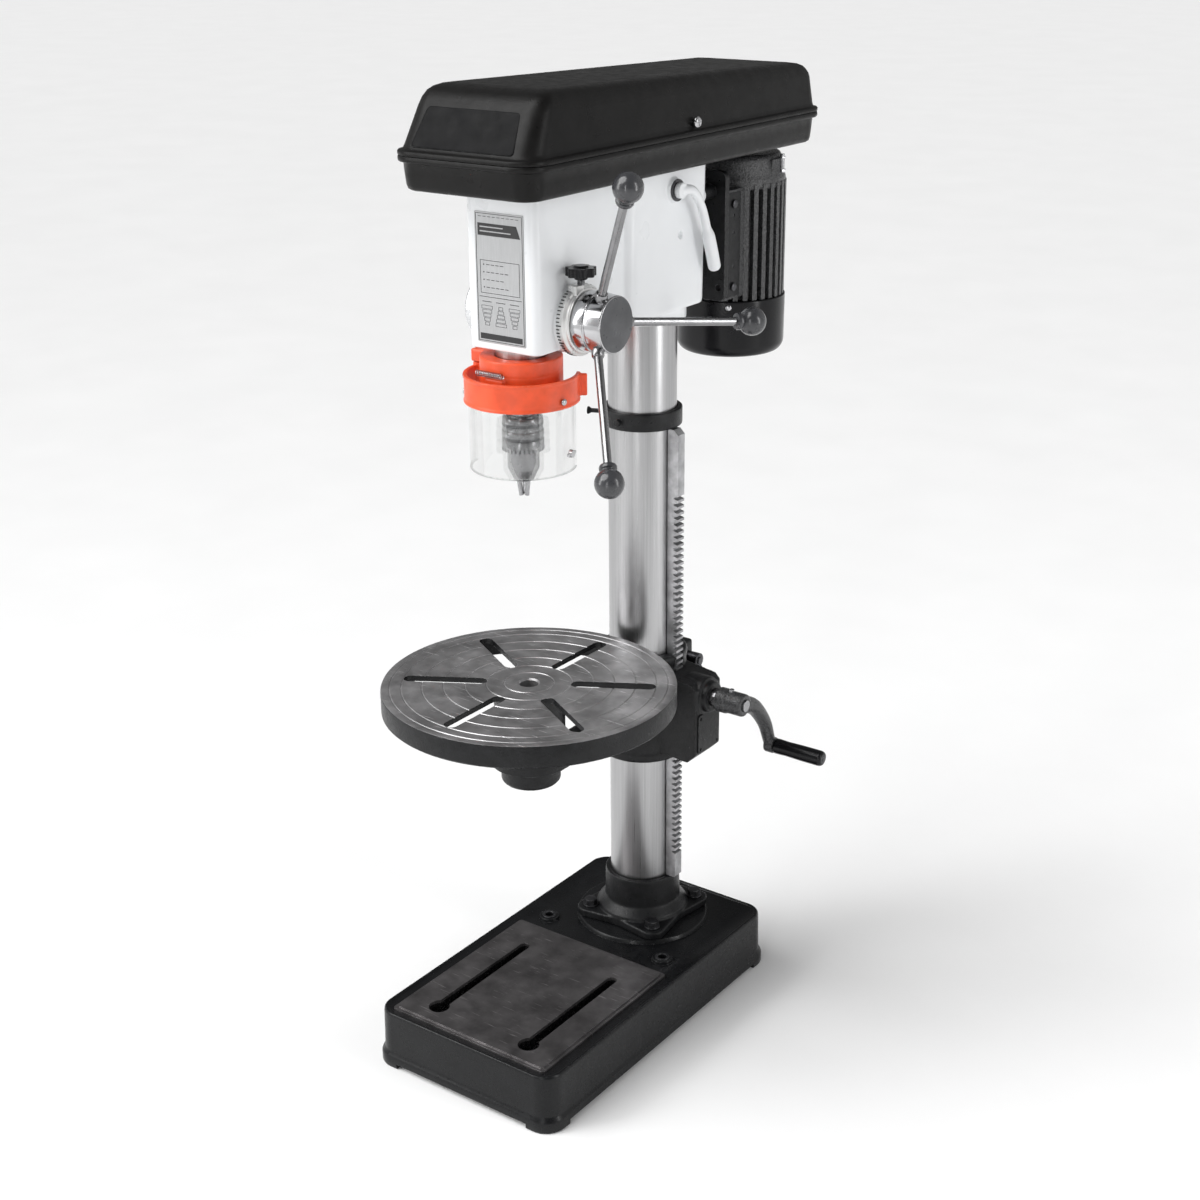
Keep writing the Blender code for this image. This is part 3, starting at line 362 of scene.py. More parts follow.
def surface(name, colour, roughness, metallic=0.0, vary=0.25, grain=(900, 0.0002), wear=None, mottle=60,
            coat=0.0, stretch=(1, 1, 1), specular=0.5, rough_vary=0.08, edge=0.0006):
    """A painted, moulded or metal surface: mottled colour, uneven gloss, fine grain and worn edges."""
    made = bpy.data.materials.new(name)
    made.use_nodes = True
    tree = made.node_tree
    shader = tree.nodes["Principled BSDF"]
    shader.inputs["Metallic"].default_value = metallic
    shader.inputs["Coat Weight"].default_value = coat
    shader.inputs["Specular IOR Level"].default_value = specular
    broad = noise(tree, mottle, 5.0, stretch)
    dark = tuple(c * (1 - vary) for c in colour) + (1.0,)
    light = tuple(min(1.0, c * (1 + vary)) for c in colour) + (1.0,)
    paint = mix(tree, spread(tree, broad, 0.35, 0.65), dark, light)
    if wear:
        worn, radius = wear
        spots = spread(tree, noise(tree, 240, 3.0), 0.45, 0.62)
        edge = node(tree, "Math", {0: edge_mask(tree, radius), 1: spots}, operation="MULTIPLY").outputs[0]
        paint = mix(tree, edge, paint, worn + (1.0,))
    tree.links.new(paint, shader.inputs["Base Color"])
    gloss = spread(tree, noise(tree, mottle * 2.3, 3.0, stretch), 0.3, 0.7, max(roughness - rough_vary, 0.02),
                   roughness + rough_vary)
    tree.links.new(gloss, shader.inputs["Roughness"])
    scale, depth = grain
    rounded = node(tree, "Bevel", {"Radius": edge}, samples=3).outputs[0]
    bump = node(tree, "Bump", {"Height": noise(tree, scale, 3.0, stretch), "Distance": depth, "Strength": 1.0,
                               "Normal": rounded})
    tree.links.new(bump.outputs[0], shader.inputs["Normal"])
    return made


def turned_face(name, colour, centre, pitch, roughness=0.38):
    """Machined iron with fine tool rings about an upright axis, stains and small scratches."""
    made = surface(name, colour, roughness, 0.85, 0.28, (500, 0.00008), None, 26, rough_vary=0.10)
    tree = made.node_tree
    shader = tree.nodes["Principled BSDF"]
    place = tree.nodes["place"].outputs["Object"]
    offset = node(tree, "VectorMath", {0: place, 1: (-centre[0], -centre[1], 0.0)},
                  operation="ADD").outputs[0]
    flat = node(tree, "VectorMath", {0: offset, 1: (1.0, 1.0, 0.0)}, operation="MULTIPLY").outputs[0]
    far = node(tree, "VectorMath", {0: flat}, operation="LENGTH").outputs["Value"]
    wave = node(tree, "Math", {0: far, 1: 2 * math.pi / pitch}, operation="MULTIPLY").outputs[0]
    wave = node(tree, "Math", {0: wave}, operation="SINE").outputs[0]
    old = shader.inputs["Normal"].links[0].from_node
    rings = node(tree, "Bump", {"Height": wave, "Distance": 0.00002, "Strength": 0.6})
    tree.links.new(old.outputs[0], rings.inputs["Normal"])
    tree.links.new(rings.outputs[0], shader.inputs["Normal"])
    scratch = spread(tree, noise(tree, 35, 2.0, (1, 14, 1)), 0.66, 0.72)
    marks = mix(tree, scratch, shader.inputs["Base Color"].links[0].from_socket,
                tuple(min(1.0, c * 2.2) for c in colour) + (1.0,))
    tree.links.new(marks, shader.inputs["Base Color"])
    return made


def clear(name, colour, roughness):
    made = surface(name, colour, roughness, 0.0, 0.05, (300, 0.00003), None, 20)
    shader = made.node_tree.nodes["Principled BSDF"]
    shader.inputs["Transmission Weight"].default_value = 1.0
    shader.inputs["IOR"].default_value = 1.25
    shader.inputs["Alpha"].default_value = 0.30
    return made


WHITE = surface("white_enamel", (0.80, 0.815, 0.83), 0.30, vary=0.012, grain=(420, 0.00006), mottle=9,
                coat=0.25, wear=((0.62, 0.63, 0.64), 0.0006), rough_vary=0.03)
CAST = surface("black_cast", (0.0075, 0.0078, 0.0085), 0.34, vary=0.35, grain=(700, 0.00045), mottle=90,
               wear=((0.12, 0.12, 0.125), 0.0010), specular=0.28)
PLASTIC = surface("cover_plastic", (0.0075, 0.0072, 0.0070), 0.34, vary=0.20, grain=(1500, 0.00012),
                  mottle=40, wear=((0.035, 0.035, 0.036), 0.0012), specular=0.15)
SMOOTH_BLACK = surface("smooth_black", (0.006, 0.006, 0.007), 0.20, vary=0.15, grain=(900, 0.00005),
                       mottle=30, specular=0.24, rough_vary=0.05)
GRAPHITE = surface("graphite_paint", (0.085, 0.087, 0.092), 0.34, vary=0.12, grain=(800, 0.00010), mottle=50,
                   metallic=0.3)
COLUMN = surface("ground_column", (0.44, 0.44, 0.445), 0.30, 1.0, 0.08, (260, 0.00003), None, 90,
                 stretch=(6, 6, 0.05), rough_vary=0.03)
STEEL = surface("milled_steel", (0.36, 0.36, 0.37), 0.28, 1.0, 0.16, (700, 0.00008),
                ((0.8, 0.8, 0.8), 0.0006), 60)
DARK_STEEL = surface("blackened_steel", (0.075, 0.075, 0.08), 0.35, 0.9, 0.3, (800, 0.0001),
                     ((0.35, 0.35, 0.35), 0.0006), 80)
CHROME = surface("polished_chrome", (0.50, 0.50, 0.51), 0.15, 1.0, 0.05, (300, 0.00001), None, 30,
                 rough_vary=0.04)
ALUMINIUM = surface("turned_aluminium", (0.66, 0.67, 0.68), 0.28, 1.0, 0.07, (900, 0.00005), None, 60)
SATIN = surface("satin_steel", (0.27, 0.27, 0.275), 0.22, 1.0, 0.10, (700, 0.00003),
                ((0.6, 0.6, 0.6), 0.0005), 60)
PANEL = surface("panel_black", (0.003, 0.003, 0.0035), 0.40, vary=0.15, grain=(900, 0.00003), mottle=30,
                specular=0.08, wear=((0.05, 0.05, 0.052), 0.0008))
RED = surface("red_plastic", (0.78, 0.085, 0.022), 0.36, vary=0.12, grain=(700, 0.00012), mottle=45,
              wear=((0.85, 0.30, 0.20), 0.0008))
GREEN = surface("green_plastic", (0.03, 0.30, 0.07), 0.35, vary=0.1, grain=(700, 0.0001), mottle=45)
RUBBER = surface("belt_rubber", (0.025, 0.025, 0.025), 0.75, vary=0.3, grain=(1200, 0.0003), mottle=80)
SILVER = surface("label_silver", (0.40, 0.405, 0.41), 0.40, 0.45, 0.05, (600, 0.00002), None, 40,
                 stretch=(20, 1, 1))
INK = surface("label_ink", (0.012, 0.012, 0.013), 0.42, vary=0.1, grain=(600, 0.00002), mottle=60)
TABLE_FACE = turned_face("table_face", (0.40, 0.395, 0.40), (0, SPINDLE_Y), 0.0011)
PAD_FACE = turned_face("pad_face", (0.15, 0.143, 0.145), (0.0, -3.0), 0.0016)
CLEAR = clear("clear_shield", (0.80, 0.82, 0.81), 0.05)
BALL = surface("knob_phenolic", (0.040, 0.041, 0.045), 0.24, vary=0.10, grain=(600, 0.00003), mottle=40,
               coat=0.3)
RACK = surface("galvanised_rack", (0.42, 0.42, 0.43), 0.38, 0.9, 0.25, (700, 0.00015),
               ((0.75, 0.75, 0.75), 0.0005), 70)
ENAMEL = surface("black_enamel", (0.0065, 0.0068, 0.0075), 0.28, vary=0.18, grain=(260, 0.00014), mottle=35,
                 wear=((0.10, 0.10, 0.105), 0.0010), edge=0.0012, specular=0.26)
ROUGH_CAST = surface("speckled_cast", (0.030, 0.0305, 0.032), 0.28, vary=0.7, grain=(520, 0.00090),
                     mottle=420, specular=0.60, wear=((0.20, 0.20, 0.205), 0.0010))
DIAL = surface("dial_face", (0.72, 0.72, 0.71), 0.32, 0.8, 0.04, (500, 0.00002), None, 40)


# ---------------------------------------------------------------- base and column
GAP = 0.0003
BASE_TOP = 0.0714
FLANGE_BOTTOM, FLANGE_TOP, FLANGE_HUB_TOP = 0.0750, 0.0850, 0.1380
SLOT_X, BOLT_X = 0.0665, 0.0475


def keyhole(side):
    return (arc(0.0125, 125, 415, 32, (side * SLOT_X, -0.3230))
            + arc(0.0065, 0, 180, 16, (side * SLOT_X, -0.1610)))


def base_ring(inset, z):
    corner = 0.026 - 0.5 * inset
    outline = rounded_rectangle(BASE_LOW[0] + inset, BASE_HIGH[0] - inset, BASE_LOW[1] + inset,
                                BASE_HIGH[1] - inset, corner, 12)
    return [(x, y, z) for x, y in outline]


def make_base():
    foot, foot_length = 0.0065, 0.036
    steps = [(0.0016, 0), (0.0004, 0.0006), (0, 0.002), (0, 0.0125), (0.0010, 0.0155),
             (0.0030, 0.0178), (0.0034, 0.0200), (0.0042, BASE_TOP - 0.0040), (0.0046, BASE_TOP - 0.0014),
             (0.0056, BASE_TOP - 0.0002), (0.0066, BASE_TOP), (0.0082, BASE_TOP - 0.0002),
             (0.0092, BASE_TOP - 0.0010), (0.0102, BASE_TOP - 0.0017)]
    solids = [loft([base_ring(*step) for step in steps])]
    holes = [box((-0.098, -0.345, -0.01), (0.098, -0.090, 0.056)),
             box((BASE_LOW[0] + foot_length, -1, -0.01), (BASE_HIGH[0] - foot_length, 1, foot)),
             box((-1, BASE_LOW[1] + foot_length, -0.01), (1, BASE_HIGH[1] - foot_length, foot))]
    for side in (-1, 1):
        middle = (side * 0.087, -0.083, 0)
        solids.append(turned(eased([(0, 0.060), (0.0160, 0.060), (0.0128, BASE_TOP), (0.0125, PAD_TOP),
                                    (0, PAD_TOP)], 0.0012), centre=middle))
        holes += [prism(keyhole(side), 0.040, 0.090), rod(0.0055, 0.050, 0.090, centre=middle)]
    solids.append(turned(eased([(0, 0.060), (0.0870, 0.060), (0.0830, BASE_TOP),
                                (0.0815, FLANGE_BOTTOM - GAP),
                                (0, FLANGE_BOTTOM - GAP)], 0.0025, 4), steps=120))
    show(cut("base_casting", solids, holes), ENAMEL, "frame", ["base"])
    show(as_object("base_boss", rod(0.052, 0, foot + 0.004, steps=96)), ENAMEL, "frame")
    rings = [tube(0.0088, 0.0055, PAD_TOP - 0.002, PAD_TOP + 0.0010, centre=(side * 0.087, -0.083, 0),
                  ease=0.0004)
             for side in (-1, 1)]
    show(as_object("base_hole_rims", joined(*rings)), DARK_STEEL, "frame")
    ledge = rounded_rectangle(-0.1115, 0.1115, -0.3545, -0.1110, 0.004)
    pad = rounded_rectangle(-0.1072, 0.1072, -0.3504, -0.1153, 0.003)
    plate = cut("base_pad", [prism(ledge, 0.060, PAD_TOP - 0.0017), prism(pad, 0.061, PAD_TOP)],
                [prism(keyhole(-1), 0.040, 0.090), prism(keyhole(1), 0.040, 0.090)])
    show(plate, PAD_FACE, "frame")


def make_flange():
    lobes = []
    for quarter in range(4):
        angle = 45 + 90 * quarter
        middle = (BOLT_X * math.copysign(1, math.cos(math.radians(angle))),
                  BOLT_X * math.copysign(1, math.sin(math.radians(angle))))
        lobes += arc(0.0165, angle - 62, angle + 62, 16, middle) + arc(0.058, angle + 40, angle + 50, 4)
    sleeve = turned([(0, FLANGE_TOP - 0.006), (0.0570, FLANGE_TOP - 0.004), (0.0570, FLANGE_TOP + 0.004),
                     (0.0475, FLANGE_TOP + 0.014), (0.0465, FLANGE_HUB_TOP - 0.001), (0, FLANGE_HUB_TOP)],
                    steps=120)
    made = cast("flange_casting", [prism(lobes, FLANGE_BOTTOM, FLANGE_TOP), sleeve],
                [rod(COLUMN_RADIUS + GAP, 0.060, 0.160, steps=120)], 0.0012, 8)
    show(made, CAST, "frame", ["column_flange"])
    for number, (x, y) in enumerate(((-1, -1), (1, -1), (1, 1), (-1, 1)), 1):
        place = (x * BOLT_X, y * BOLT_X)
        head = prism(hexagon(0.0145, place), FLANGE_TOP + 0.0018, FLANGE_TOP + 0.0088)
        crown = turned([(0.0071, FLANGE_TOP + 0.0070), (0.0068, FLANGE_TOP + 0.0090),
                        (0.0050, FLANGE_TOP + 0.0095), (0, FLANGE_TOP + 0.0095)], centre=(*place, 0))
        washer = tube(0.0095, 0.0050, FLANGE_TOP + GAP, FLANGE_TOP + 0.0022, centre=(*place, 0), ease=0.0004)
        show(as_object(f"bolt_{number}", joined(head, crown, washer)), DARK_STEEL, "frame",
             [f"flange_bolt_{number}"])


def make_column():
    top, low = 0.985, FLANGE_BOTTOM + GAP
    show(as_object("column_tube", tube(COLUMN_RADIUS, 0.0345, low, top, steps=160)), COLUMN, "frame",
         ["column"])
    low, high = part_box("rack_collar")[0][2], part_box("rack_collar")[1][2]
    middle = (0, 0, (low + high) / 2)
    collar = tube(0.0465, COLUMN_RADIUS + GAP, low, high, steps=128, ease=0.0020)
    screw = turned(eased([(0, -0.0450), (0.0026, -0.0450), (0.0026, -0.0610), (0.0045, -0.0640),
                          (0.0045, -0.0655), (0, -0.0658)], 0.0004), "X", middle, 32)
    screw.transform(Matrix.Rotation(math.radians(22), 4, "Z"))
    stub = rod(0.0040, -0.0530, -0.0450, "Y", middle, 32, 0.0008)
    show(as_object("collar_ring", joined(collar, screw, stub)), CAST, "frame", ["rack_collar"])


# ---------------------------------------------------------------- table and its bracket
def make_bracket():
    low, high = 0.305, 0.440
    housing = [(0.030, 0.319), (0.085, 0.315), (0.097, 0.327), (0.097, 0.410), (0.090, 0.417), (0.030, 0.425)]
    solids = [turned([(0, low), (0.0525, low), (0.0545, low + 0.003), (0.0545, low + 0.010),
                      (0.0535, low + 0.012), (0.0535, high - 0.012), (0.0545, high - 0.010),
                      (0.0545, high - 0.003), (0.0525, high), (0, high)], steps=120),
              prism(housing, -0.029, 0.025, "Y"),
              rod(0.0190, 0.070, 0.106, "X", (0, CRANK_Y, CRANK_Z), 64, 0.002),
              rod(0.0235, 0.070, 0.0985, "X", (0, CRANK_Y, CRANK_Z), 64, 0.001),
              turned([(0.034, -0.0750), (0.034, -0.060), (0.040, -0.030)], "Y", (0, 0, TILT_Z), 80),
              box((-0.020, 0.040, 0.330), (0.020, 0.082, 0.425), 0.004)]
    holes = [rod(COLUMN_RADIUS + GAP, 0.29, 0.46, steps=128),
             box((0.030, -0.0074, 0.29), (0.0551, 0.0074, 0.46)),
             box((-0.0015, 0.030, 0.29), (0.0015, 0.100, 0.46)),
             rod(0.0240, -0.0175, 0.0095, "Y", (0.0695, 0, 0.370)),
             rod(0.0104, 0.040, 0.120, "X", (0, CRANK_Y, CRANK_Z))]
    show(cast("bracket_casting", solids, holes, 0.0012, 5), CAST, "table_carriage", ["table_bracket"])
    face = cut("housing_cover", [prism(rounded_rectangle(-0.0245, 0.0205, 0.328, 0.3775, 0.004), 0.0960,
                                       0.0985, "X")],
               [rod(0.0022, 0.0970, 0.11, "X", (0, y, z)) for y in (-0.0195, 0.0155)
                for z in (0.333, 0.3725)])
    show(face, CAST, "table_carriage")


def make_crank():
    centre = (0, CRANK_Y, CRANK_Z)
    hub = turned(eased([(0, 0.1142), (0.0150, 0.1142), (0.0150, 0.1270), (0.0138, 0.1285), (0.0138, 0.1480),
                        (0.0128, 0.1500), (0, 0.1500)], 0.0012), "X", centre, 72)
    path = smooth_path([(0.1400, CRANK_Y + 0.0100, CRANK_Z - 0.0030),
                        (0.1420, CRANK_Y + 0.0330, CRANK_Z - 0.0160),
                        (0.1430, CRANK_Y + 0.0560, CRANK_Z - 0.0440),
                        (0.1440, GRIP_Y - 0.0010, GRIP_Z + 0.0040)])
    radii = [0.0110 - 0.0035 * i / (len(path) - 1) for i in range(len(path))]
    boss = rod(0.0100, 0.1400, 0.1520, "X", (0, GRIP_Y, GRIP_Z), 48, 0.0015)
    made = cast("crank_casting", [hub, sweep(path, radii), boss],
                [rod(0.0073, 0.1000, 0.1530, "X", centre, 48)], 0.0009, 4)
    show(made, ROUGH_CAST, "table_crank", ["crank_arm"])
    screw = joined(rod(0.0034, CRANK_Z + 0.0120, CRANK_Z + 0.0165, "Z", (0.1310, CRANK_Y, 0), 6, 0.0003))
    show(as_object("crank_screw", screw), STEEL, "table_crank")
    shaft = rod(0.0070, 0.1135, 0.1508, "X", centre, 48, 0.0015)
    show(as_object("crank_shaft_end", shaft), DARK_STEEL, "table_crank")
    grip = turned(eased([(0.0036, 0.1525), (0.0082, 0.1525), (0.0095, 0.1545), (0.0090, 0.1700),
                         (0.0095, 0.1900), (0.0095, 0.2150), (0.0080, 0.2185),
                         (0.0036, 0.2190)], 0.0020, 4, True), "X",
                  (0, GRIP_Y, GRIP_Z), 64, True)
    show(as_object("grip_sleeve", grip), SMOOTH_BLACK, "crank_handle", ["crank_grip"])
    end = joined(rod(0.0058, 0.2176, 0.2190, "X", (0, GRIP_Y, GRIP_Z), 48, 0.0004),
                 rod(0.0026, 0.2180, 0.2194, "X", (0, GRIP_Y, GRIP_Z), 6, 0.0001))
    show(as_object("grip_end_screw", end), DARK_STEEL, "crank_handle")


def make_table_arm():
    lever = smooth_path([(0.0350, 0.066, 0.405), (0.0420, 0.069, 0.385), (0.0500, 0.073, 0.360),
                         (0.0530, 0.075, 0.342)])
    radii = [0.0040] * (len(lever) - 6) + [0.0043, 0.0050, 0.0056, 0.0058, 0.0056, 0.0046]
    made = joined(rod(0.0050, -0.0280, 0.0420, "X", (0, 0.066, 0.405)), sweep(lever, radii),
                  rod(0.0090, 0.0206, 0.0400, "X", (0, 0.066, 0.405)),
                  rod(0.0085, -0.028, -0.0206, "X", (0, 0.066, 0.405), 6))
    show(as_object("clamp_lever_bar", made), DARK_STEEL, "clamp_lever", ["column_clamp_lever"])
    arm = cast("arm_casting", [turned([(0, -0.0922), (0.034, -0.0922), (0.034, -0.0753), (0, -0.0753)],
                                      "Y", (0, 0, TILT_Z), 96),
                               box((-0.019, -0.205, 0.3495), (0.019, -0.085, 0.3715), 0.004),
                               turned([(0, 0.3495), (0.031, 0.3495), (0.034, 0.353), (0.034, 0.3730),
                                       (0, 0.3730)],
                                      "Z", (0, SPINDLE_Y, 0), 96)],
               [rod(0.0176, 0.330, 0.400, "Z", (0, SPINDLE_Y, 0), 64)], 0.0013, 6)
    show(arm, CAST, "table_support", ["table_arm"])


def make_table():
    """Rimmed plate: machined top with shallow turned grooves, painted below and round the rim."""
    top = TABLE_TOP
    radius = (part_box("table")[1][0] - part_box("table")[0][0]) / 2 + 0.0003
    plate, rim = 0.0065, 0.0265
    surface_line = [(0, top - plate), (radius - 0.0200, top - plate), (radius - 0.0165, top - plate - 0.0020),
                    (radius - 0.0160, top - rim + 0.0010), (radius - 0.0150, top - rim),
                    (radius - 0.0020, top - rim), (radius, top - rim + 0.0020), (radius, top - 0.0016),
                    (radius - 0.0005, top - 0.0004), (radius - 0.0016, top)]
    for groove in (0.1560, 0.1430, 0.1200, 0.0960, 0.0720, 0.0480, 0.0280):
        surface_line += [(groove + 0.0010, top), (groove, top - 0.0008), (groove - 0.0010, top)]
    surface_line += [(0.0125, top), (0.0105, top - 0.0018), (0, top - 0.0018)]
    centre = (0, SPINDLE_Y, 0)
    stem = turned([(0, 0.3520), (0.0170, 0.3520), (0.0170, 0.3733), (0.0450, 0.3733), (0.0450, 0.388),
                   (0.0415, 0.392), (0.0400, 0.400), (0.0400, top - 0.020), (0.0430, top - plate / 2),
                   (0, top - plate / 2)], "Z", centre, 96)
    holes = [rod(0.0105, 0.340, top + 0.010, "Z", centre, 64)]
    slot_outline = arc(0.0080, 90, 270, 16, (0.0555, 0)) + arc(0.0080, -90, 90, 16, (0.1345, 0))
    for spoke in range(6):
        slot_shape = prism(slot_outline, top - 0.060, top + 0.010)
        slot_shape.transform(Matrix.Translation(centre) @ Matrix.Rotation(math.radians(60 * spoke + 30),
                                                                          4, "Z"))
        holes.append(slot_shape)
    made = cut("table_plate", [turned(surface_line, "Z", centre, 144), stem], holes)
    show(made, CAST, "table_plate", ["table"])
    made.data.materials.append(TABLE_FACE)
    for face in made.data.polygons:
        bore = Vector(face.center[:2] + (0,)) - Vector(centre)
        if face.center.z > top - 0.0010 or bore.length < 0.0126:
            face.material_index = 1


# ---------------------------------------------------------------- head
HEAD_FRONT, HEAD_HALF, HEAD_BOTTOM, HEAD_TOP = -0.2535, 0.046, 0.853, 1.0180


def make_head():
    socket = [[(x, y, z) for x, y in rounded_rectangle(-w, w, -0.105, 0.056, 0.020, 10)]
              for w, z in ((0.0525, 0.8580), (0.0535, 0.8620), (0.0560, HEAD_TOP))]
    solids = [prism(rounded_rectangle(-HEAD_HALF, HEAD_HALF, HEAD_FRONT, -0.170, 0.010, 10), HEAD_BOTTOM,
                    HEAD_TOP),
              prism(rounded_rectangle(-HEAD_HALF, HEAD_HALF, -0.200, -0.080, 0.004), 0.8725, HEAD_TOP),
              loft(socket), rod(0.0500, 0.8425, 0.8650, steps=96),
              rod(0.0360, 0.0300, 0.0500, "X", (0, FEED_Y, FEED_Z), 96),
              rod(0.0330, -0.0500, -0.0300, "X", (0, FEED_Y, FEED_Z), 96),
              rod(0.0130, 0.0500, 0.0600, "X", (0, -0.021, 0.993), 64)]
    solids += [rod(0.0140, 0.0300, 0.0600, "Y", (side * 0.032, 0, 0.975), 64) for side in (-1, 1)]
    holes = [rod(COLUMN_RADIUS + GAP, 0.830, 0.990, steps=128), rod(0.0273, 0.840, 1.0300, "Z",
                                                                    (0, SPINDLE_Y, 0), 96),
             rod(0.0108, -0.070, 0.070, "X", (0, FEED_Y, FEED_Z)), rod(0.0042, 0.050, 0.070, "X",
                                                                       (0, -0.0048, 0.9417)),
             rod(0.0050, 0.040, 0.070, "X", (0, -0.021, 0.993)), box((-0.034, -0.190, 0.886),
                                                                     (0.034, -0.060, 1.0100))]
    holes += [rod(0.0083, 0.035, 0.080, "Y", (side * 0.032, 0, 0.975)) for side in (-1, 1)]
    show(cast("head_body", solids, holes, 0.0013, 7), WHITE, "frame", ["head_casting"], 60)


def plate_on_front(x_low, x_high, z_low, z_high, lift, corner=0.0006):
    return prism(rounded_rectangle(x_low, x_high, z_low, z_high, corner, 3), HEAD_FRONT - 0.0004 - lift,
                 HEAD_FRONT + 0.0006, "Y")


def make_label():
    """Data plate on the head's front: borders, a black heading, rows of rules and three pulley diagrams."""
    half, low, high = 0.0315, 0.861, 0.9955
    show(as_object("label_plate", plate_on_front(-half, half, low, high, 0.0002, 0.0012)), SILVER, "frame")
    ink = []

    def bar(x_low, x_high, z_low, z_high):
        ink.append(plate_on_front(x_low, x_high, z_low, z_high, 0.0004, 0.0001))

    def outline(x_low, x_high, z_low, z_high, line=0.0005):
        bar(x_low, x_high, z_low, z_low + line)
        bar(x_low, x_high, z_high - line, z_high)
        bar(x_low, x_low + line, z_low, z_high)
        bar(x_high - line, x_high, z_low, z_high)

    outline(-half + 0.0015, half - 0.0015, low + 0.0015, high - 0.0015)
    for dash in range(9):
        x = -half + 0.005 + 0.006 * dash
        bar(x, x + 0.0040, high - 0.0050, high - 0.0045)
    heading = [(-0.0275, 0.9840), (0.0225, 0.9840), (0.0275, 0.9715), (-0.0275, 0.9715)]
    ink.append(prism(heading, HEAD_FRONT - 0.0008, HEAD_FRONT, "Y"))
    bar(-0.0275, 0.0275, low + 0.0035, low + 0.0095)
    bar(-0.0275, 0.0275, 0.9085, 0.9090)
    outline(-0.0255, 0.0255, 0.9125, 0.9465, 0.0004)
    for row, length in enumerate((0.026, 0.036, 0.024, 0.030)):
        z = 0.9420 - 0.0078 * row
        bar(-0.0215, -0.0203, z - 0.0006, z + 0.0006)
        for word in range(int(length / 0.006)):
            bar(-0.0175 + 0.006 * word, -0.0175 + 0.006 * word + 0.0042, z - 0.0003, z + 0.0003)
    for stack, x in enumerate((-0.018, 0.0, 0.018)):
        bar(x - 0.006, x + 0.006, 0.9035, 0.9041)
        for step in range(5):
            wide = 0.0028 + 0.0011 * (step if stack != 1 else 4 - step)
            outline(x - wide, x + wide, 0.8790 + 0.0043 * step, 0.8825 + 0.0043 * step, 0.0003)
    show(as_object("label_ink", joined(*ink)), INK, "frame")
    rules = [prism([(-0.0245 + 0.0, z), (-0.0245 + w, z), (-0.0245 + w, z - 0.0012), (-0.0245, z - 0.0012)],
                   HEAD_FRONT - 0.0010, HEAD_FRONT, "Y") for z, w in ((0.9810, 0.030), (0.9765, 0.040))]
    show(as_object("label_rules", joined(*rules)), SILVER, "frame")


def make_switch():
    low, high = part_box("switch_box")
    housing = cut("switch_housing", [box(low, high, 0.004, 4)],
                  [rod(0.0105, -0.0900, -0.0700, "X", (0, -0.143, 0.987)),
                   rod(0.0135, -0.0900, -0.0700, "X", (0, -0.143, 0.948))])
    show(housing, PLASTIC, "frame", ["switch_box"])
    plate = cut("switch_plate", [box((low[0] - 0.0006, -0.167, 0.930), (low[0] + 0.0005, -0.119, 1.001),
                                     0.0003)],
                [rod(0.0115, -0.0900, -0.0700, "X", (0, -0.143, 0.987)),
                 rod(0.0145, -0.0900, -0.0700, "X", (0, -0.143, 0.948))])
    show(plate, SILVER, "frame")
    for name, look, radius, z in (("start", GREEN, 0.0100, 0.987), ("stop", RED, 0.0130, 0.948)):
        profile = eased([(0, -0.0750), (radius - 0.0020, -0.0750), (radius - 0.0020, -0.0800),
                         (radius, -0.0805), (radius, -0.0858), (radius - 0.0020, -0.0868),
                         (radius - 0.0050, -0.0862), (0, -0.0860)], 0.0008)
        show(as_object(name + "_cap", turned(profile, "X", (0, -0.143, z))), look, name, [name + "_button"])


# ---------------------------------------------------------------- quill, chuck and guard
def make_quill():
    centre = (0, SPINDLE_Y, 0)
    sleeve = cut("quill_tube", [tube(0.0270, 0.0150, 0.7900, 1.0000, "Z", centre, 128)],
                 [box((-0.0150, FEED_Y - 0.0104, 0.862), (0.0150, SPINDLE_Y + 0.040, 0.992))])
    show(sleeve, COLUMN, "quill_body", ["quill"])
    low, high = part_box("chuck_sleeve")[0][2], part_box("chuck_sleeve")[1][2]
    body = [(0.0088, 0.7797), (0.0190, 0.7797), (0.0212, 0.7785), (0.0218, 0.7765), (0.0218, high + 0.0006),
            (0.0202, high + 0.0004), (0.0202, low), (0.0172, low - 0.0010), (0.0172, 0.7225),
            (0.0167, 0.7208), (0.0112, 0.7092), (0.0106, 0.7080), (0.0096, 0.7080), (0.0124, 0.7300),
            (0.0124, 0.7440), (0.0088, 0.7500)]
    show(as_object("chuck_shell", turned(eased(body, 0.0006, 3, True), "Z", centre, 128, True)), SATIN,
         "spindle_body", ["chuck_body"])
    band = tube(0.0221, 0.0210, 0.7692, 0.7728, "Z", centre, 96, 0.0003)
    show(as_object("chuck_band", band), DARK_STEEL, "spindle_body")
    ring = turned(eased([(0.0205, low), (0.0222, low), (0.0226, low + 0.0010), (0.0226, 0.7540),
                         (0.0216, 0.7544), (0.0216, 0.7576), (0.0226, 0.7580), (0.0226, high - 0.0010),
                         (0.0222, high), (0.0205, high)], 0.0003, 2, True), "Z", centre, 128, True)
    groove = tube(0.0219, 0.0214, 0.7544, 0.7576, "Z", centre, 96, 0.0002)
    teeth = [groove]
    for tooth in range(30):
        one = box((0.0215, -0.0010, low), (0.0228, 0.0010, low + 0.0040), 0.0003, 1)
        one.transform(Matrix.Translation(centre) @ Matrix.Rotation(2 * math.pi * tooth / 30, 4, "Z"))
        teeth.append(one)
    show(as_object("chuck_ring_teeth", joined(*teeth)), DARK_STEEL, "chuck_ring")
    show(as_object("chuck_ring_sleeve", ring), SATIN, "chuck_ring", ["chuck_sleeve"])


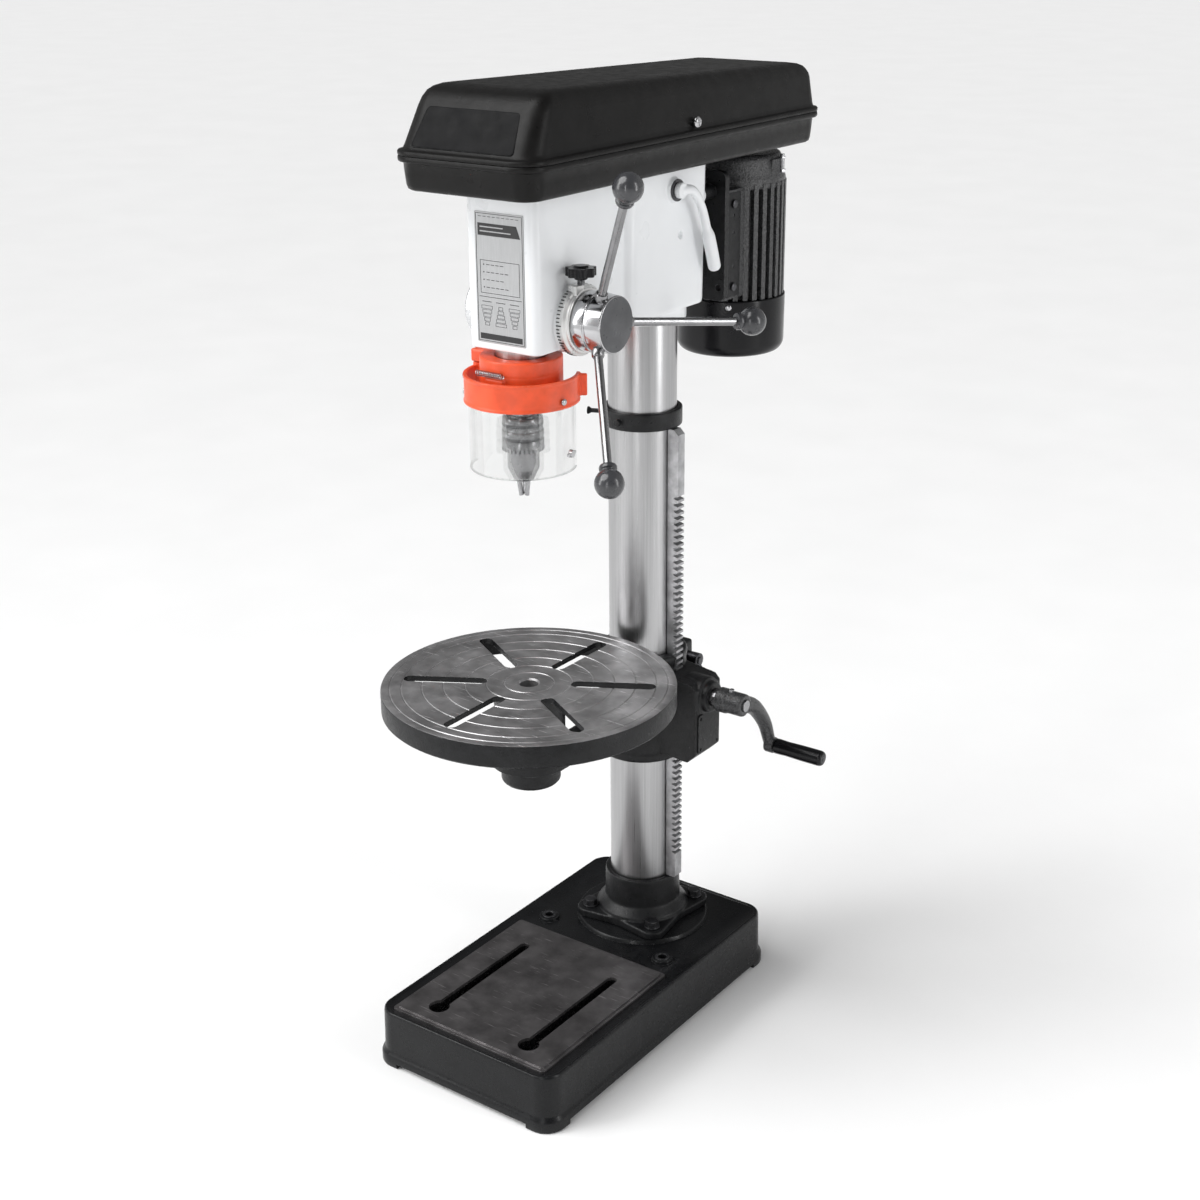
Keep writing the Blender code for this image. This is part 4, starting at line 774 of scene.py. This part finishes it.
def make_guard():
    centre, middle = (0, SPINDLE_Y, 0), (0, SPINDLE_Y)
    clamp_low, clamp_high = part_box("guard_clamp")[0][2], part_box("guard_clamp")[1][2]
    clamp = cast("guard_clamp_ring",
                 [tube(0.0440, 0.0273, clamp_low, clamp_high, "Z", centre, 128, 0.0015),
                  box((-0.064, SPINDLE_Y - 0.006, 0.8295), (-0.040, SPINDLE_Y + 0.006, 0.8435), 0.002),
                  box((-0.012, SPINDLE_Y - 0.0470, 0.8180), (0.012, SPINDLE_Y - 0.0400, 0.8270), 0.0015)],
                 [tube(0.0460, 0.0428, 0.8285, 0.8300, "Z", centre, 96)], 0.0008, 3)
    show(clamp, RED, "quill_body", ["guard_clamp"])
    coil = []
    turns, radius, length = 15, 0.0028, 0.034
    for step in range(turns * 12 + 1):
        angle = 2 * math.pi * step / 12
        coil.append((-0.021 + length * step / (turns * 12), SPINDLE_Y - 0.0480 + radius * math.cos(angle),
                     0.8320 + radius * math.sin(angle)))
    show(as_object("guard_coil", sweep(coil, [0.00055] * len(coil), 8)), CHROME, "quill_body",
         ["guard_spring"])
    band_low, band_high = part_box("guard_band")[0][2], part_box("guard_band")[1][2] - 0.0030
    shield_low, shield_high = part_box("guard_shield")[0][2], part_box("guard_shield")[1][2]
    lug = [(GUARD_X + x, SPINDLE_Y + y) for x, y in arc(0.0055, 0, 345, 23)]
    tab = box((0.0580, -0.0020, 0.8000), (0.0690, 0.0020, 0.8240), 0.0012)
    tab.transform(Matrix.Translation(centre) @ Matrix.Rotation(math.radians(35), 4, "Z"))
    solids = [arc_wall(0.0610, 0.0577, 181, 396, band_low, band_high, 90, middle),
              arc_wall(0.0618, 0.0576, 181, 396, band_low, band_low + 0.0025, 90, middle),
              arc_wall(0.0618, 0.0576, 181, 396, band_high - 0.0025, band_high, 90, middle),
              prism(lug, band_low, band_high + 0.0028), tab]
    show(cast("guard_band_shell", solids, (), 0.0008, 3), RED, "guard", ["guard_band"])
    shell = as_object("shield_shell", arc_wall(0.0570, 0.0548, 192, 394, shield_low + 0.0002, shield_high,
                                               110, middle))
    show(shell, CLEAR, "guard", ["guard_shield"])
    rim = arc_wall(0.0572, 0.0545, 192, 394, shield_low, shield_low + 0.0012, 110, middle)
    show(as_object("shield_rim", rim), CLEAR, "guard")
    screws = []
    for angle, z in ((203, 0.8190), (203, 0.8020), (352, 0.8040)):
        turn = Matrix.Translation((0, SPINDLE_Y, z)) @ Matrix.Rotation(math.radians(angle), 4, "Z")
        head = turned(eased([(0, 0.0620), (0.0036, 0.0620), (0.0036, 0.0636), (0.0022, 0.0646),
                             (0, 0.0647)], 0.0006), "X",
                      (0, 0, 0), 32)
        head.transform(turn)
        screws.append(head)
    show(as_object("guard_screws", joined(*screws)), CHROME, "guard")
    nut = joined(turned([(0, 0.0570), (0.0045, 0.0570), (0.0040, 0.0610), (0, 0.0615)], "X", (0, 0, 0), 32),
                 box((0.0575, -0.0085, -0.0018), (0.0600, 0.0085, 0.0018), 0.0012))
    nut.transform(Matrix.Translation((0, SPINDLE_Y, 0.7440)) @ Matrix.Rotation(math.radians(368), 4, "Z"))
    show(as_object("shield_wing_nut", nut), CHROME, "guard")


# ---------------------------------------------------------------- feed
def make_feed():
    centre = (0, FEED_Y, FEED_Z)
    hub = turned(eased([(0.006, 0.0642), (0.0320, 0.0642), (0.0322, 0.0700), (0.0320, 0.0780),
                        (0.0304, 0.0786), (0.0304, 0.0806), (0.0316, 0.0814), (0.0300, 0.0985),
                        (0.0290, 0.0996), (0.006, 0.0996)],
                       0.0008, 4, True), "X", centre, 128, True)
    show(as_object("hub_turned", hub), CHROME, "feed", ["feed_hub"])
    disc = turned(eased([(0, 0.0980), (0.0288, 0.0980), (0.0288, 0.0999), (0, 0.1000)], 0.0006), "X",
                  centre, 96)
    show(as_object("hub_face_disc", disc), GRAPHITE, "feed")
    for number in range(3):
        angle = math.radians(-23.3 + 120 * number)
        out = Vector((0, math.sin(angle), math.cos(angle)))
        root = Vector((0.0880, FEED_Y, FEED_Z)) + out * 0.0290
        ball = Vector((0.1610, FEED_Y, FEED_Z)) + out * 0.166
        along = (ball - root).normalized()
        lever = sweep([root, ball - along * 0.0165], [0.0045, 0.0045], 40)
        foot = turned([(0.0044, 0.0), (0.0066, 0.0), (0.0066, 0.0060), (0.0056, 0.0075),
                       (0.0044, 0.0078)], ring=True, steps=48)
        foot.transform(Matrix.Translation(root + along * 0.0025)
                       @ along.to_track_quat("Z", "Y").to_matrix().to_4x4())
        show(as_object(f"lever_rod_{number + 1}", joined(lever, foot)), SATIN, "feed",
             [f"feed_lever_{number + 1}"])
        steps = [math.pi * k / 24 for k in range(1, 21)]
        radius = 0.0154
        profile = [(0, radius)] + [(radius * math.sin(t), radius * math.cos(t)) for t in steps]
        profile += [(0.0080, -0.0146), (0.0092, -0.0156), (0.0094, -0.0180), (0.0086, -0.0198),
                    (0.0050, -0.0200), (0, -0.0200)]
        knob = turned(profile, "Z", (0, 0, 0), 96)
        knob.transform(Matrix.Translation(ball) @ along.to_track_quat("Z", "Y").to_matrix().to_4x4())
        show(as_object(f"knob_ball_{number + 1}", knob), BALL, "feed", [f"feed_knob_{number + 1}"])


def make_depth_stop():
    """Graduated ring with its ticks, its lock stud and the lobed lock knob."""
    centre = (0, FEED_Y, FEED_Z)
    ring = turned(eased([(0.0110, 0.0503), (0.0372, 0.0503), (0.0375, 0.0580), (0.0345, 0.0600),
                         (0.0345, 0.0625), (0.0330, 0.0636),
                         (0.0110, 0.0636)], 0.0007, 3, True), "X", centre, 144, True)
    stud = BODY_POINT["depth_lock"]
    lug = box((0.0520, stud[1] - 0.007, 0.9100), (0.0630, stud[1] + 0.007, 0.9210), 0.0015, 3)
    show(as_object("dial_ring", joined(ring, lug)), DIAL, "depth_stop", ["depth_ring"])
    ticks = []
    for tick in range(60):
        long = 0.0062 if tick % 5 == 0 else 0.0038
        one = box((0.0504, -0.00055, 0.0370), (0.0504 + long, 0.00055, 0.03785))
        one.transform(Matrix.Translation(centre) @ Matrix.Rotation(math.radians(6 * tick), 4, "X"))
        ticks.append(one)
    show(as_object("dial_ticks", joined(*ticks)), INK, "depth_stop")
    knob = []
    for lobe in range(72):
        angle = 2 * math.pi * lobe / 72
        radius = 0.0148 + 0.0016 * math.cos(7 * angle)
        knob.append((stud[0] + radius * math.cos(angle), stud[1] + radius * math.sin(angle)))
    crown = rod(0.0080, 0.9385, 0.9418, "Z", (*stud[:2], 0), 64, 0.0015)
    skirt = rod(0.0070, 0.9270, 0.9310, "Z", (*stud[:2], 0), 64, 0.0010)
    show(cast("lock_knob", [prism(knob, 0.9305, 0.9398), crown, skirt], (), 0.0006, 5), SMOOTH_BLACK,
         "depth_lock", ["depth_lock_knob"])
    thread = [(0, 0.9213)] + [(0.0040 - 0.0005 * (k % 2), 0.9213 + 0.0005 * k)
                              for k in range(14)] + [(0, 0.9285)]
    show(as_object("lock_stud", turned(thread, "Z", (*stud[:2], 0), 40)), STEEL, "depth_lock")


def make_spring_cap():
    centre = (0, FEED_Y, FEED_Z)
    cap = turned(eased([(0.0295, -0.0503), (0.0330, -0.0503), (0.0330, -0.0740), (0.0310, -0.0760),
                        (0.0120, -0.0760), (0.0110, -0.0745), (0, -0.0745), (0, -0.0730),
                        (0.0295, -0.0730)], 0.0010, 3),
                 "X", centre, 128)
    show(as_object("spring_cap_shell", cap), ALUMINIUM, "frame", ["spring_cap"])
    nut = prism(hexagon(0.0150, (FEED_Y, FEED_Z)), -0.0778, -0.0748, "X")
    show(as_object("spring_cap_nut", nut), STEEL, "frame")


# ---------------------------------------------------------------- belt cover
COVER_LOW, COVER_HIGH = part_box("pulley_cover")
PAN_BOTTOM, LID_BOTTOM = 1.0183, 1.0540
COVER_HALF, COVER_FRONT, COVER_BACK = 0.0923, COVER_LOW[1], COVER_HIGH[1]


def cover_ring(inset, z, front=0.0, droop=0.0):
    corner = max(0.030 - inset, 0.010)
    outline = rounded_rectangle(-COVER_HALF + inset, COVER_HALF - inset, COVER_FRONT + inset + front,
                                COVER_BACK - inset, corner, 14)
    fall = [max(0.0, (y - 0.03) / (COVER_BACK - 0.03)) for x, y in outline]
    return [(x, y, z - droop * share) for (x, y), share in zip(outline, fall)]


def make_pan():
    lip = LID_BOTTOM - 0.0005
    rings = [cover_ring(0.0110, PAN_BOTTOM + 0.0030), cover_ring(0.0095, 1.0460),
             cover_ring(0.0045, lip - 0.0002), cover_ring(0.0010, lip - 0.0001),
             cover_ring(0.0002, lip - 0.0010), cover_ring(0.0, 1.0500),
             cover_ring(0.0004, 1.0482), cover_ring(0.0016, 1.0474), cover_ring(0.0045, 1.0470),
             cover_ring(0.0056, 1.0460), cover_ring(0.0066, 1.0350), cover_ring(0.0078, PAN_BOTTOM + 0.0060),
             cover_ring(0.0092, PAN_BOTTOM + 0.0022), cover_ring(0.0120, PAN_BOTTOM + 0.0004),
             cover_ring(0.0150, PAN_BOTTOM)]
    motor_slot = arc(0.0140, 0, 180, 24, (0, MOTOR_Y + 0.012)) + arc(0.0140, 180, 360, 24,
                                                                     (0, MOTOR_Y - 0.006))
    holes = [rod(0.0290, 1.000, 1.040, "Z", (0, SPINDLE_Y, 0), 96), prism(motor_slot, 1.000, 1.040)]
    post = turned([(0, 1.0200), (0.0110, 1.0200), (0.0110, 1.0300), (0.0077, 1.0301), (0.0077, 1.0980),
                   (0, 1.0980)], "Z",
                  (0, BODY_POINT["middle_pulley"][1], 0), 64)
    show(cut("pan_tray", [loft(rings), post], holes), PLASTIC, "frame", ["pulley_pan"], 50)


def make_lid():
    """Moulded lid with a shallow framed panel on its sloped front and a latch screw."""
    droop, top = 0.0140, COVER_HIGH[2]
    outer = [cover_ring(0.0004, LID_BOTTOM), cover_ring(0.0, LID_BOTTOM + 0.0010),
             cover_ring(0.0, LID_BOTTOM + 0.0035), cover_ring(0.0010, LID_BOTTOM + 0.0046),
             cover_ring(0.0040, LID_BOTTOM + 0.0052), cover_ring(0.0054, LID_BOTTOM + 0.0062, 0.0006),
             cover_ring(0.0063, LID_BOTTOM + 0.0100, 0.0024),
             cover_ring(0.0105, 1.1000, 0.0190, droop * 0.6), cover_ring(0.0120, 1.1075, 0.0228,
                                                                         droop * 0.85),
             cover_ring(0.0150, 1.1135, 0.0262, droop), cover_ring(0.0190, top - 0.0030, 0.0295, droop),
             cover_ring(0.0240, top - 0.0008, 0.0325, droop), cover_ring(0.0310, top, 0.0350, droop)]
    inner = [cover_ring(0.0320, top - 0.0030, 0.0350, droop), cover_ring(0.0185, 1.1105, 0.0270, droop),
             cover_ring(0.0135, 1.0990, 0.0190, droop * 0.6), cover_ring(0.0085, LID_BOTTOM + 0.0040),
             cover_ring(0.0060, LID_BOTTOM)]
    lid = cut("lid_shell", [loft(inner + outer)], [rod(0.0028, 0.070, 0.110, "X", (0, -0.027, 1.0673))])
    show(lid, PLASTIC, "lid", ["pulley_cover"], 50)
    z_low, z_high = 1.0625, 1.1010
    lean = (0.0190 + 0.0105 - 0.0054) / (1.1000 - LID_BOTTOM - 0.0062)

    def front(z):
        return COVER_FRONT + 0.0060 + lean * (z - LID_BOTTOM - 0.0062)

    rings = []
    for inset, lift in ((0.0, 0.0006), (0.0003, -0.0004), (0.0012, -0.0009), (0.0020, -0.0009)):
        shape = rounded_rectangle(-0.0650 + inset, 0.0650 - inset, z_low + inset, z_high - inset, 0.004, 6)
        rings.append([(x * (1 - 0.10 * (z - z_low) / (z_high - z_low)), front(z) + lift, z)
                      for x, z in shape])
    show(as_object("lid_panel", loft(rings)), PANEL, "lid")
    screw = turned(eased([(0, 0.0780), (0.0025, 0.0780), (0.0025, 0.0878), (0.0062, 0.0882), (0.0062, 0.0905),
                          (0.0045, 0.0922), (0, 0.0927)], 0.0005), "X", (0, -0.027, 1.0673), 48)
    cross = [box((0.0917, -0.0308 if flat else -0.0276, 1.0669 if flat else 1.0635),
                 (0.0940, -0.0232 if flat else -0.0264, 1.0677 if flat else 1.0711)) for flat in (0, 1)]
    show(cut("latch_screw", [screw], cross), CHROME, "lid_screw", ["cover_screw"])


# ---------------------------------------------------------------- motor and belt lever
def make_motor():
    centre = (0, MOTOR_Y, 0)
    fin_low, fin_high = 0.840, 0.975
    fins = prism(star(34, 0.0598, 0.0040, (0, MOTOR_Y), (0.33, 0.24)), fin_low + 0.0005, fin_high)
    bell = turned(eased([(0, fin_high - 0.006), (0.0628, fin_high - 0.006), (0.0628, fin_high + 0.004),
                         (0.0605, fin_high + 0.010), (0.0580, 1.0020), (0.0545, 1.0075), (0.030, 1.0078),
                         (0.028, 1.0090), (0, 1.0090)], 0.003, 5), "Z",
                  centre, 128)
    foot = box((-0.045, 0.0985, fin_low + 0.007), (0.045, 0.150, fin_high - 0.001), 0.003)
    pads = [box((0.050 - 0.0070, MOTOR_Y - 0.010, 0.9795), (0.0605, MOTOR_Y + 0.010, 1.0020), 0.002)]
    body = cut("motor_casting", [fins, bell, foot] + pads, [rod(0.0074, 0.850, 1.020, "Z", centre)])
    show(body, ROUGH_CAST, "motor_carriage", ["motor_body"])
    side = cut("motor_foot_face", [box((0.0440, 0.1040, fin_low + 0.010),
                                       (0.0458, 0.1340, fin_high - 0.004), 0.0008)],
               [rod(0.0022, 0.0445, 0.050, "X", (0, 0.119, z)) for z in (0.885, 0.925, 0.945)])
    show(side, CAST, "motor_carriage")
    bolts = [turned(eased([(0, 0.0455), (0.0052, 0.0455), (0.0052, 0.0480), (0.0030, 0.0492),
                           (0, 0.0494)], 0.0008), "X",
                    (0, 0.119, z), 40) for z in (0.862, 0.958)]
    show(as_object("motor_bolts", joined(*bolts)), DARK_STEEL, "motor_carriage")
    fan = turned(eased([(0.0420, 0.7718), (0.0500, 0.7702), (0.0600, 0.7722), (0.0650, 0.7800),
                        (0.0655, 0.8397), (0.0620, 0.8397), (0.0620, 0.7800), (0.0580, 0.7755),
                        (0.0420, 0.7738)], 0.006, 6,
                       True), "Z",
                 centre, 128, True)
    slats = [tube(0.0075 + 0.007 * ring, 0.0045 + 0.007 * ring, 0.7715, 0.7740, "Z", centre, 96, 0.0004)
             for ring in range(6)]
    spokes = []
    for spoke in range(4):
        one = box((0.004, -0.0015, 0.7720), (0.044, 0.0015, 0.7745), 0.0004)
        one.transform(Matrix.Translation(centre) @ Matrix.Rotation(math.radians(90 * spoke + 45), 4, "Z"))
        spokes.append(one)
    show(as_object("fan_shroud", joined(fan, *slats, *spokes)), SMOOTH_BLACK, "motor_carriage",
         ["motor_fan_cover"], 50)
    screws = []
    for angle in (-60, 60, 180):
        one = turned(eased([(0, 0.0650), (0.0036, 0.0650), (0.0036, 0.0662), (0.0020, 0.0670),
                            (0, 0.0671)], 0.0005), "X",
                     (0, 0, 0), 32)
        one.transform(Matrix.Translation((0, MOTOR_Y, 0.8330)) @ Matrix.Rotation(math.radians(angle), 4, "Z"))
        screws.append(one)
    show(as_object("fan_screws", joined(*screws)), CHROME, "motor_carriage")
    eye = joined(rod(0.0026, 0.9850, 1.0060, "Z", (0.0605, MOTOR_Y + 0.012, 0), 32, 0.0003),
                 rod(0.0050, 0.9850, 0.9885, "Z", (0.0605, MOTOR_Y + 0.012, 0), 6, 0.0004),
                 rod(0.0042, 1.0010, 1.0030, "Z", (0.0605, MOTOR_Y + 0.012, 0), 6, 0.0004))
    show(as_object("motor_tie_bolt", eye), STEEL, "motor_carriage")
    outline = rounded_rectangle(-0.052, 0.052, 0.850, 0.998, 0.008, 10)
    plate = cut("motor_plate_cast", [prism(outline, 0.0903, 0.0982, "Y")] +
                [rod(0.0080, 0.0360, 0.0930, "Y", (x, 0, 0.975), 64) for x in (-0.032, 0.032)],
                [rod(0.0040, 0.08, 0.12, "Y", (x, 0, 0.865)) for x in (-0.044, 0.044)])
    show(plate, CAST, "motor_carriage", ["motor_plate"])


def make_tension_lever():
    """White bent lever on its washer, swelling into a flattened grip."""
    path = smooth_path([(0.0650, -0.020, 0.9935), (0.0700, -0.004, 0.9910), (0.0700, 0.014, 0.9700),
                        (0.0690, 0.028, 0.9400), (0.0680, 0.038, 0.9180), (0.0675, 0.0455, 0.8980)])
    radii = []
    for point in path:
        into = min(max((0.948 - point[2]) / 0.012, 0.0), 1.0)
        radii.append(0.0056 + 0.0030 * into * into * (3 - 2 * into))
    radii[-1] *= 0.86
    made = cast("belt_lever_bar", [sweep(path, radii, 32, 0.85), rod(0.0085, 0.0620, 0.0690, "X",
                                                                     (0, -0.021, 0.993), 64)],
                (), 0.0008, 4)
    show(made, WHITE, "belt_lever", ["tension_lever"], 60)
    washer = tube(0.0120, 0.0055, 0.0603, 0.0622, "X", (0, -0.021, 0.993), 72, 0.0004)
    show(as_object("belt_lever_washer", washer), DARK_STEEL, "belt_lever")


# ---------------------------------------------------------------- nodes whose shape stays
def refinish():
    looks = {"rack_gear": DARK_STEEL, "worm_shaft": STEEL, "quill_bearing": DARK_STEEL, "spindle": STEEL,
             "chuck_jaw_a": STEEL, "chuck_jaw_b": STEEL, "chuck_jaw_c": STEEL, "feed_shaft": STEEL,
             "return_spring": DARK_STEEL, "spindle_pulley": ALUMINIUM, "middle_pulley": ALUMINIUM,
             "motor_pulley": ALUMINIUM, "motor_shaft": STEEL, "front_belt": RUBBER, "rear_belt": RUBBER,
             "rack": RACK}
    for name, look in looks.items():
        slots = frame["nodes"][name].data.materials
        slots.clear()
        slots.append(look)


# ---------------------------------------------------------------- room
FLOOR_HALF, FLOOR_DROP = 40, 0.0005
WHITE_LIGHT = (1.0, 1.0, 1.0, 1.0)
# name, place, width and height, power of each soft lamp
LAMPS = (("key", (-1.8, -2.4, 1.6), (0.9, 2.0), 26),
         ("side", (2.6, 0.1, 1.4), (0.45, 2.2), 20), ("strip", (0.9, -2.8, 1.2), (0.18, 1.9), 9))


def make_floor():
    floor = as_object("floor", box((-FLOOR_HALF, -FLOOR_HALF, -0.02), (FLOOR_HALF, FLOOR_HALF, -FLOOR_DROP)))
    look = surface("pale_floor", (0.93, 0.93, 0.93), 0.75, vary=0.01, grain=(40, 0.0001), mottle=3)
    floor.data.materials.append(look)


def make_world():
    """A plain white backdrop. The light it gives is dimmer, and brighter to the sides of the camera
    than in front and behind, so that round metal shows upright bands."""
    world = bpy.data.worlds.new("studio")
    world.use_nodes = True
    tree = world.node_tree
    shade = tree.nodes["Background"]
    shade.inputs["Color"].default_value = WHITE_LIGHT
    seen_from_machine = node(tree, "TexCoord").outputs["Generated"]
    to_the_side = (0.807, 0.590, 0.0)
    across = node(tree, "VectorMath", {0: seen_from_machine, 1: to_the_side}, operation="DOT_PRODUCT")
    sideways = node(tree, "Math", {0: across.outputs["Value"], 1: across.outputs["Value"]},
                    operation="MULTIPLY")
    tree.links.new(spread(tree, sideways.outputs[0], 0.10, 0.80, 0.16, 0.62), shade.inputs["Strength"])
    backdrop = node(tree, "Background", {"Color": WHITE_LIGHT})
    seen = node(tree, "LightPath").outputs["Is Camera Ray"]
    either = node(tree, "MixShader", {0: seen, 1: shade.outputs[0], 2: backdrop.outputs[0]})
    tree.links.new(either.outputs[0], tree.nodes["World Output"].inputs["Surface"])
    bpy.context.scene.world = world


def make_lamps():
    sun = bpy.data.lights.new("sun", "SUN")
    sun.energy, sun.angle = 2.7, 0.9
    lamps = [(sun, (-1.2, -1.6, 3.2))]
    for name, place, size, power in LAMPS:
        light = bpy.data.lights.new(name, "AREA")
        light.shape, light.size, light.size_y, light.energy = "RECTANGLE", size[0], size[1], power
        lamps.append((light, place))
    target = Vector((0, -0.1, 0.6))
    for light, place in lamps:
        lamp = bpy.data.objects.new(light.name, light)
        lamp.location = place
        lamp.rotation_euler = (target - Vector(place)).to_track_quat("-Z", "Y").to_euler()
        bpy.context.collection.objects.link(lamp)


for make in (make_base, make_flange, make_column, make_bracket, make_crank, make_table_arm, make_table,
             make_head, make_label, make_switch, make_quill, make_guard, make_feed, make_depth_stop,
             make_spring_cap, make_pan, make_lid, make_motor, make_tension_lever, refinish,
             make_floor, make_world, make_lamps):
    make()

bpy.context.view_layer.update()
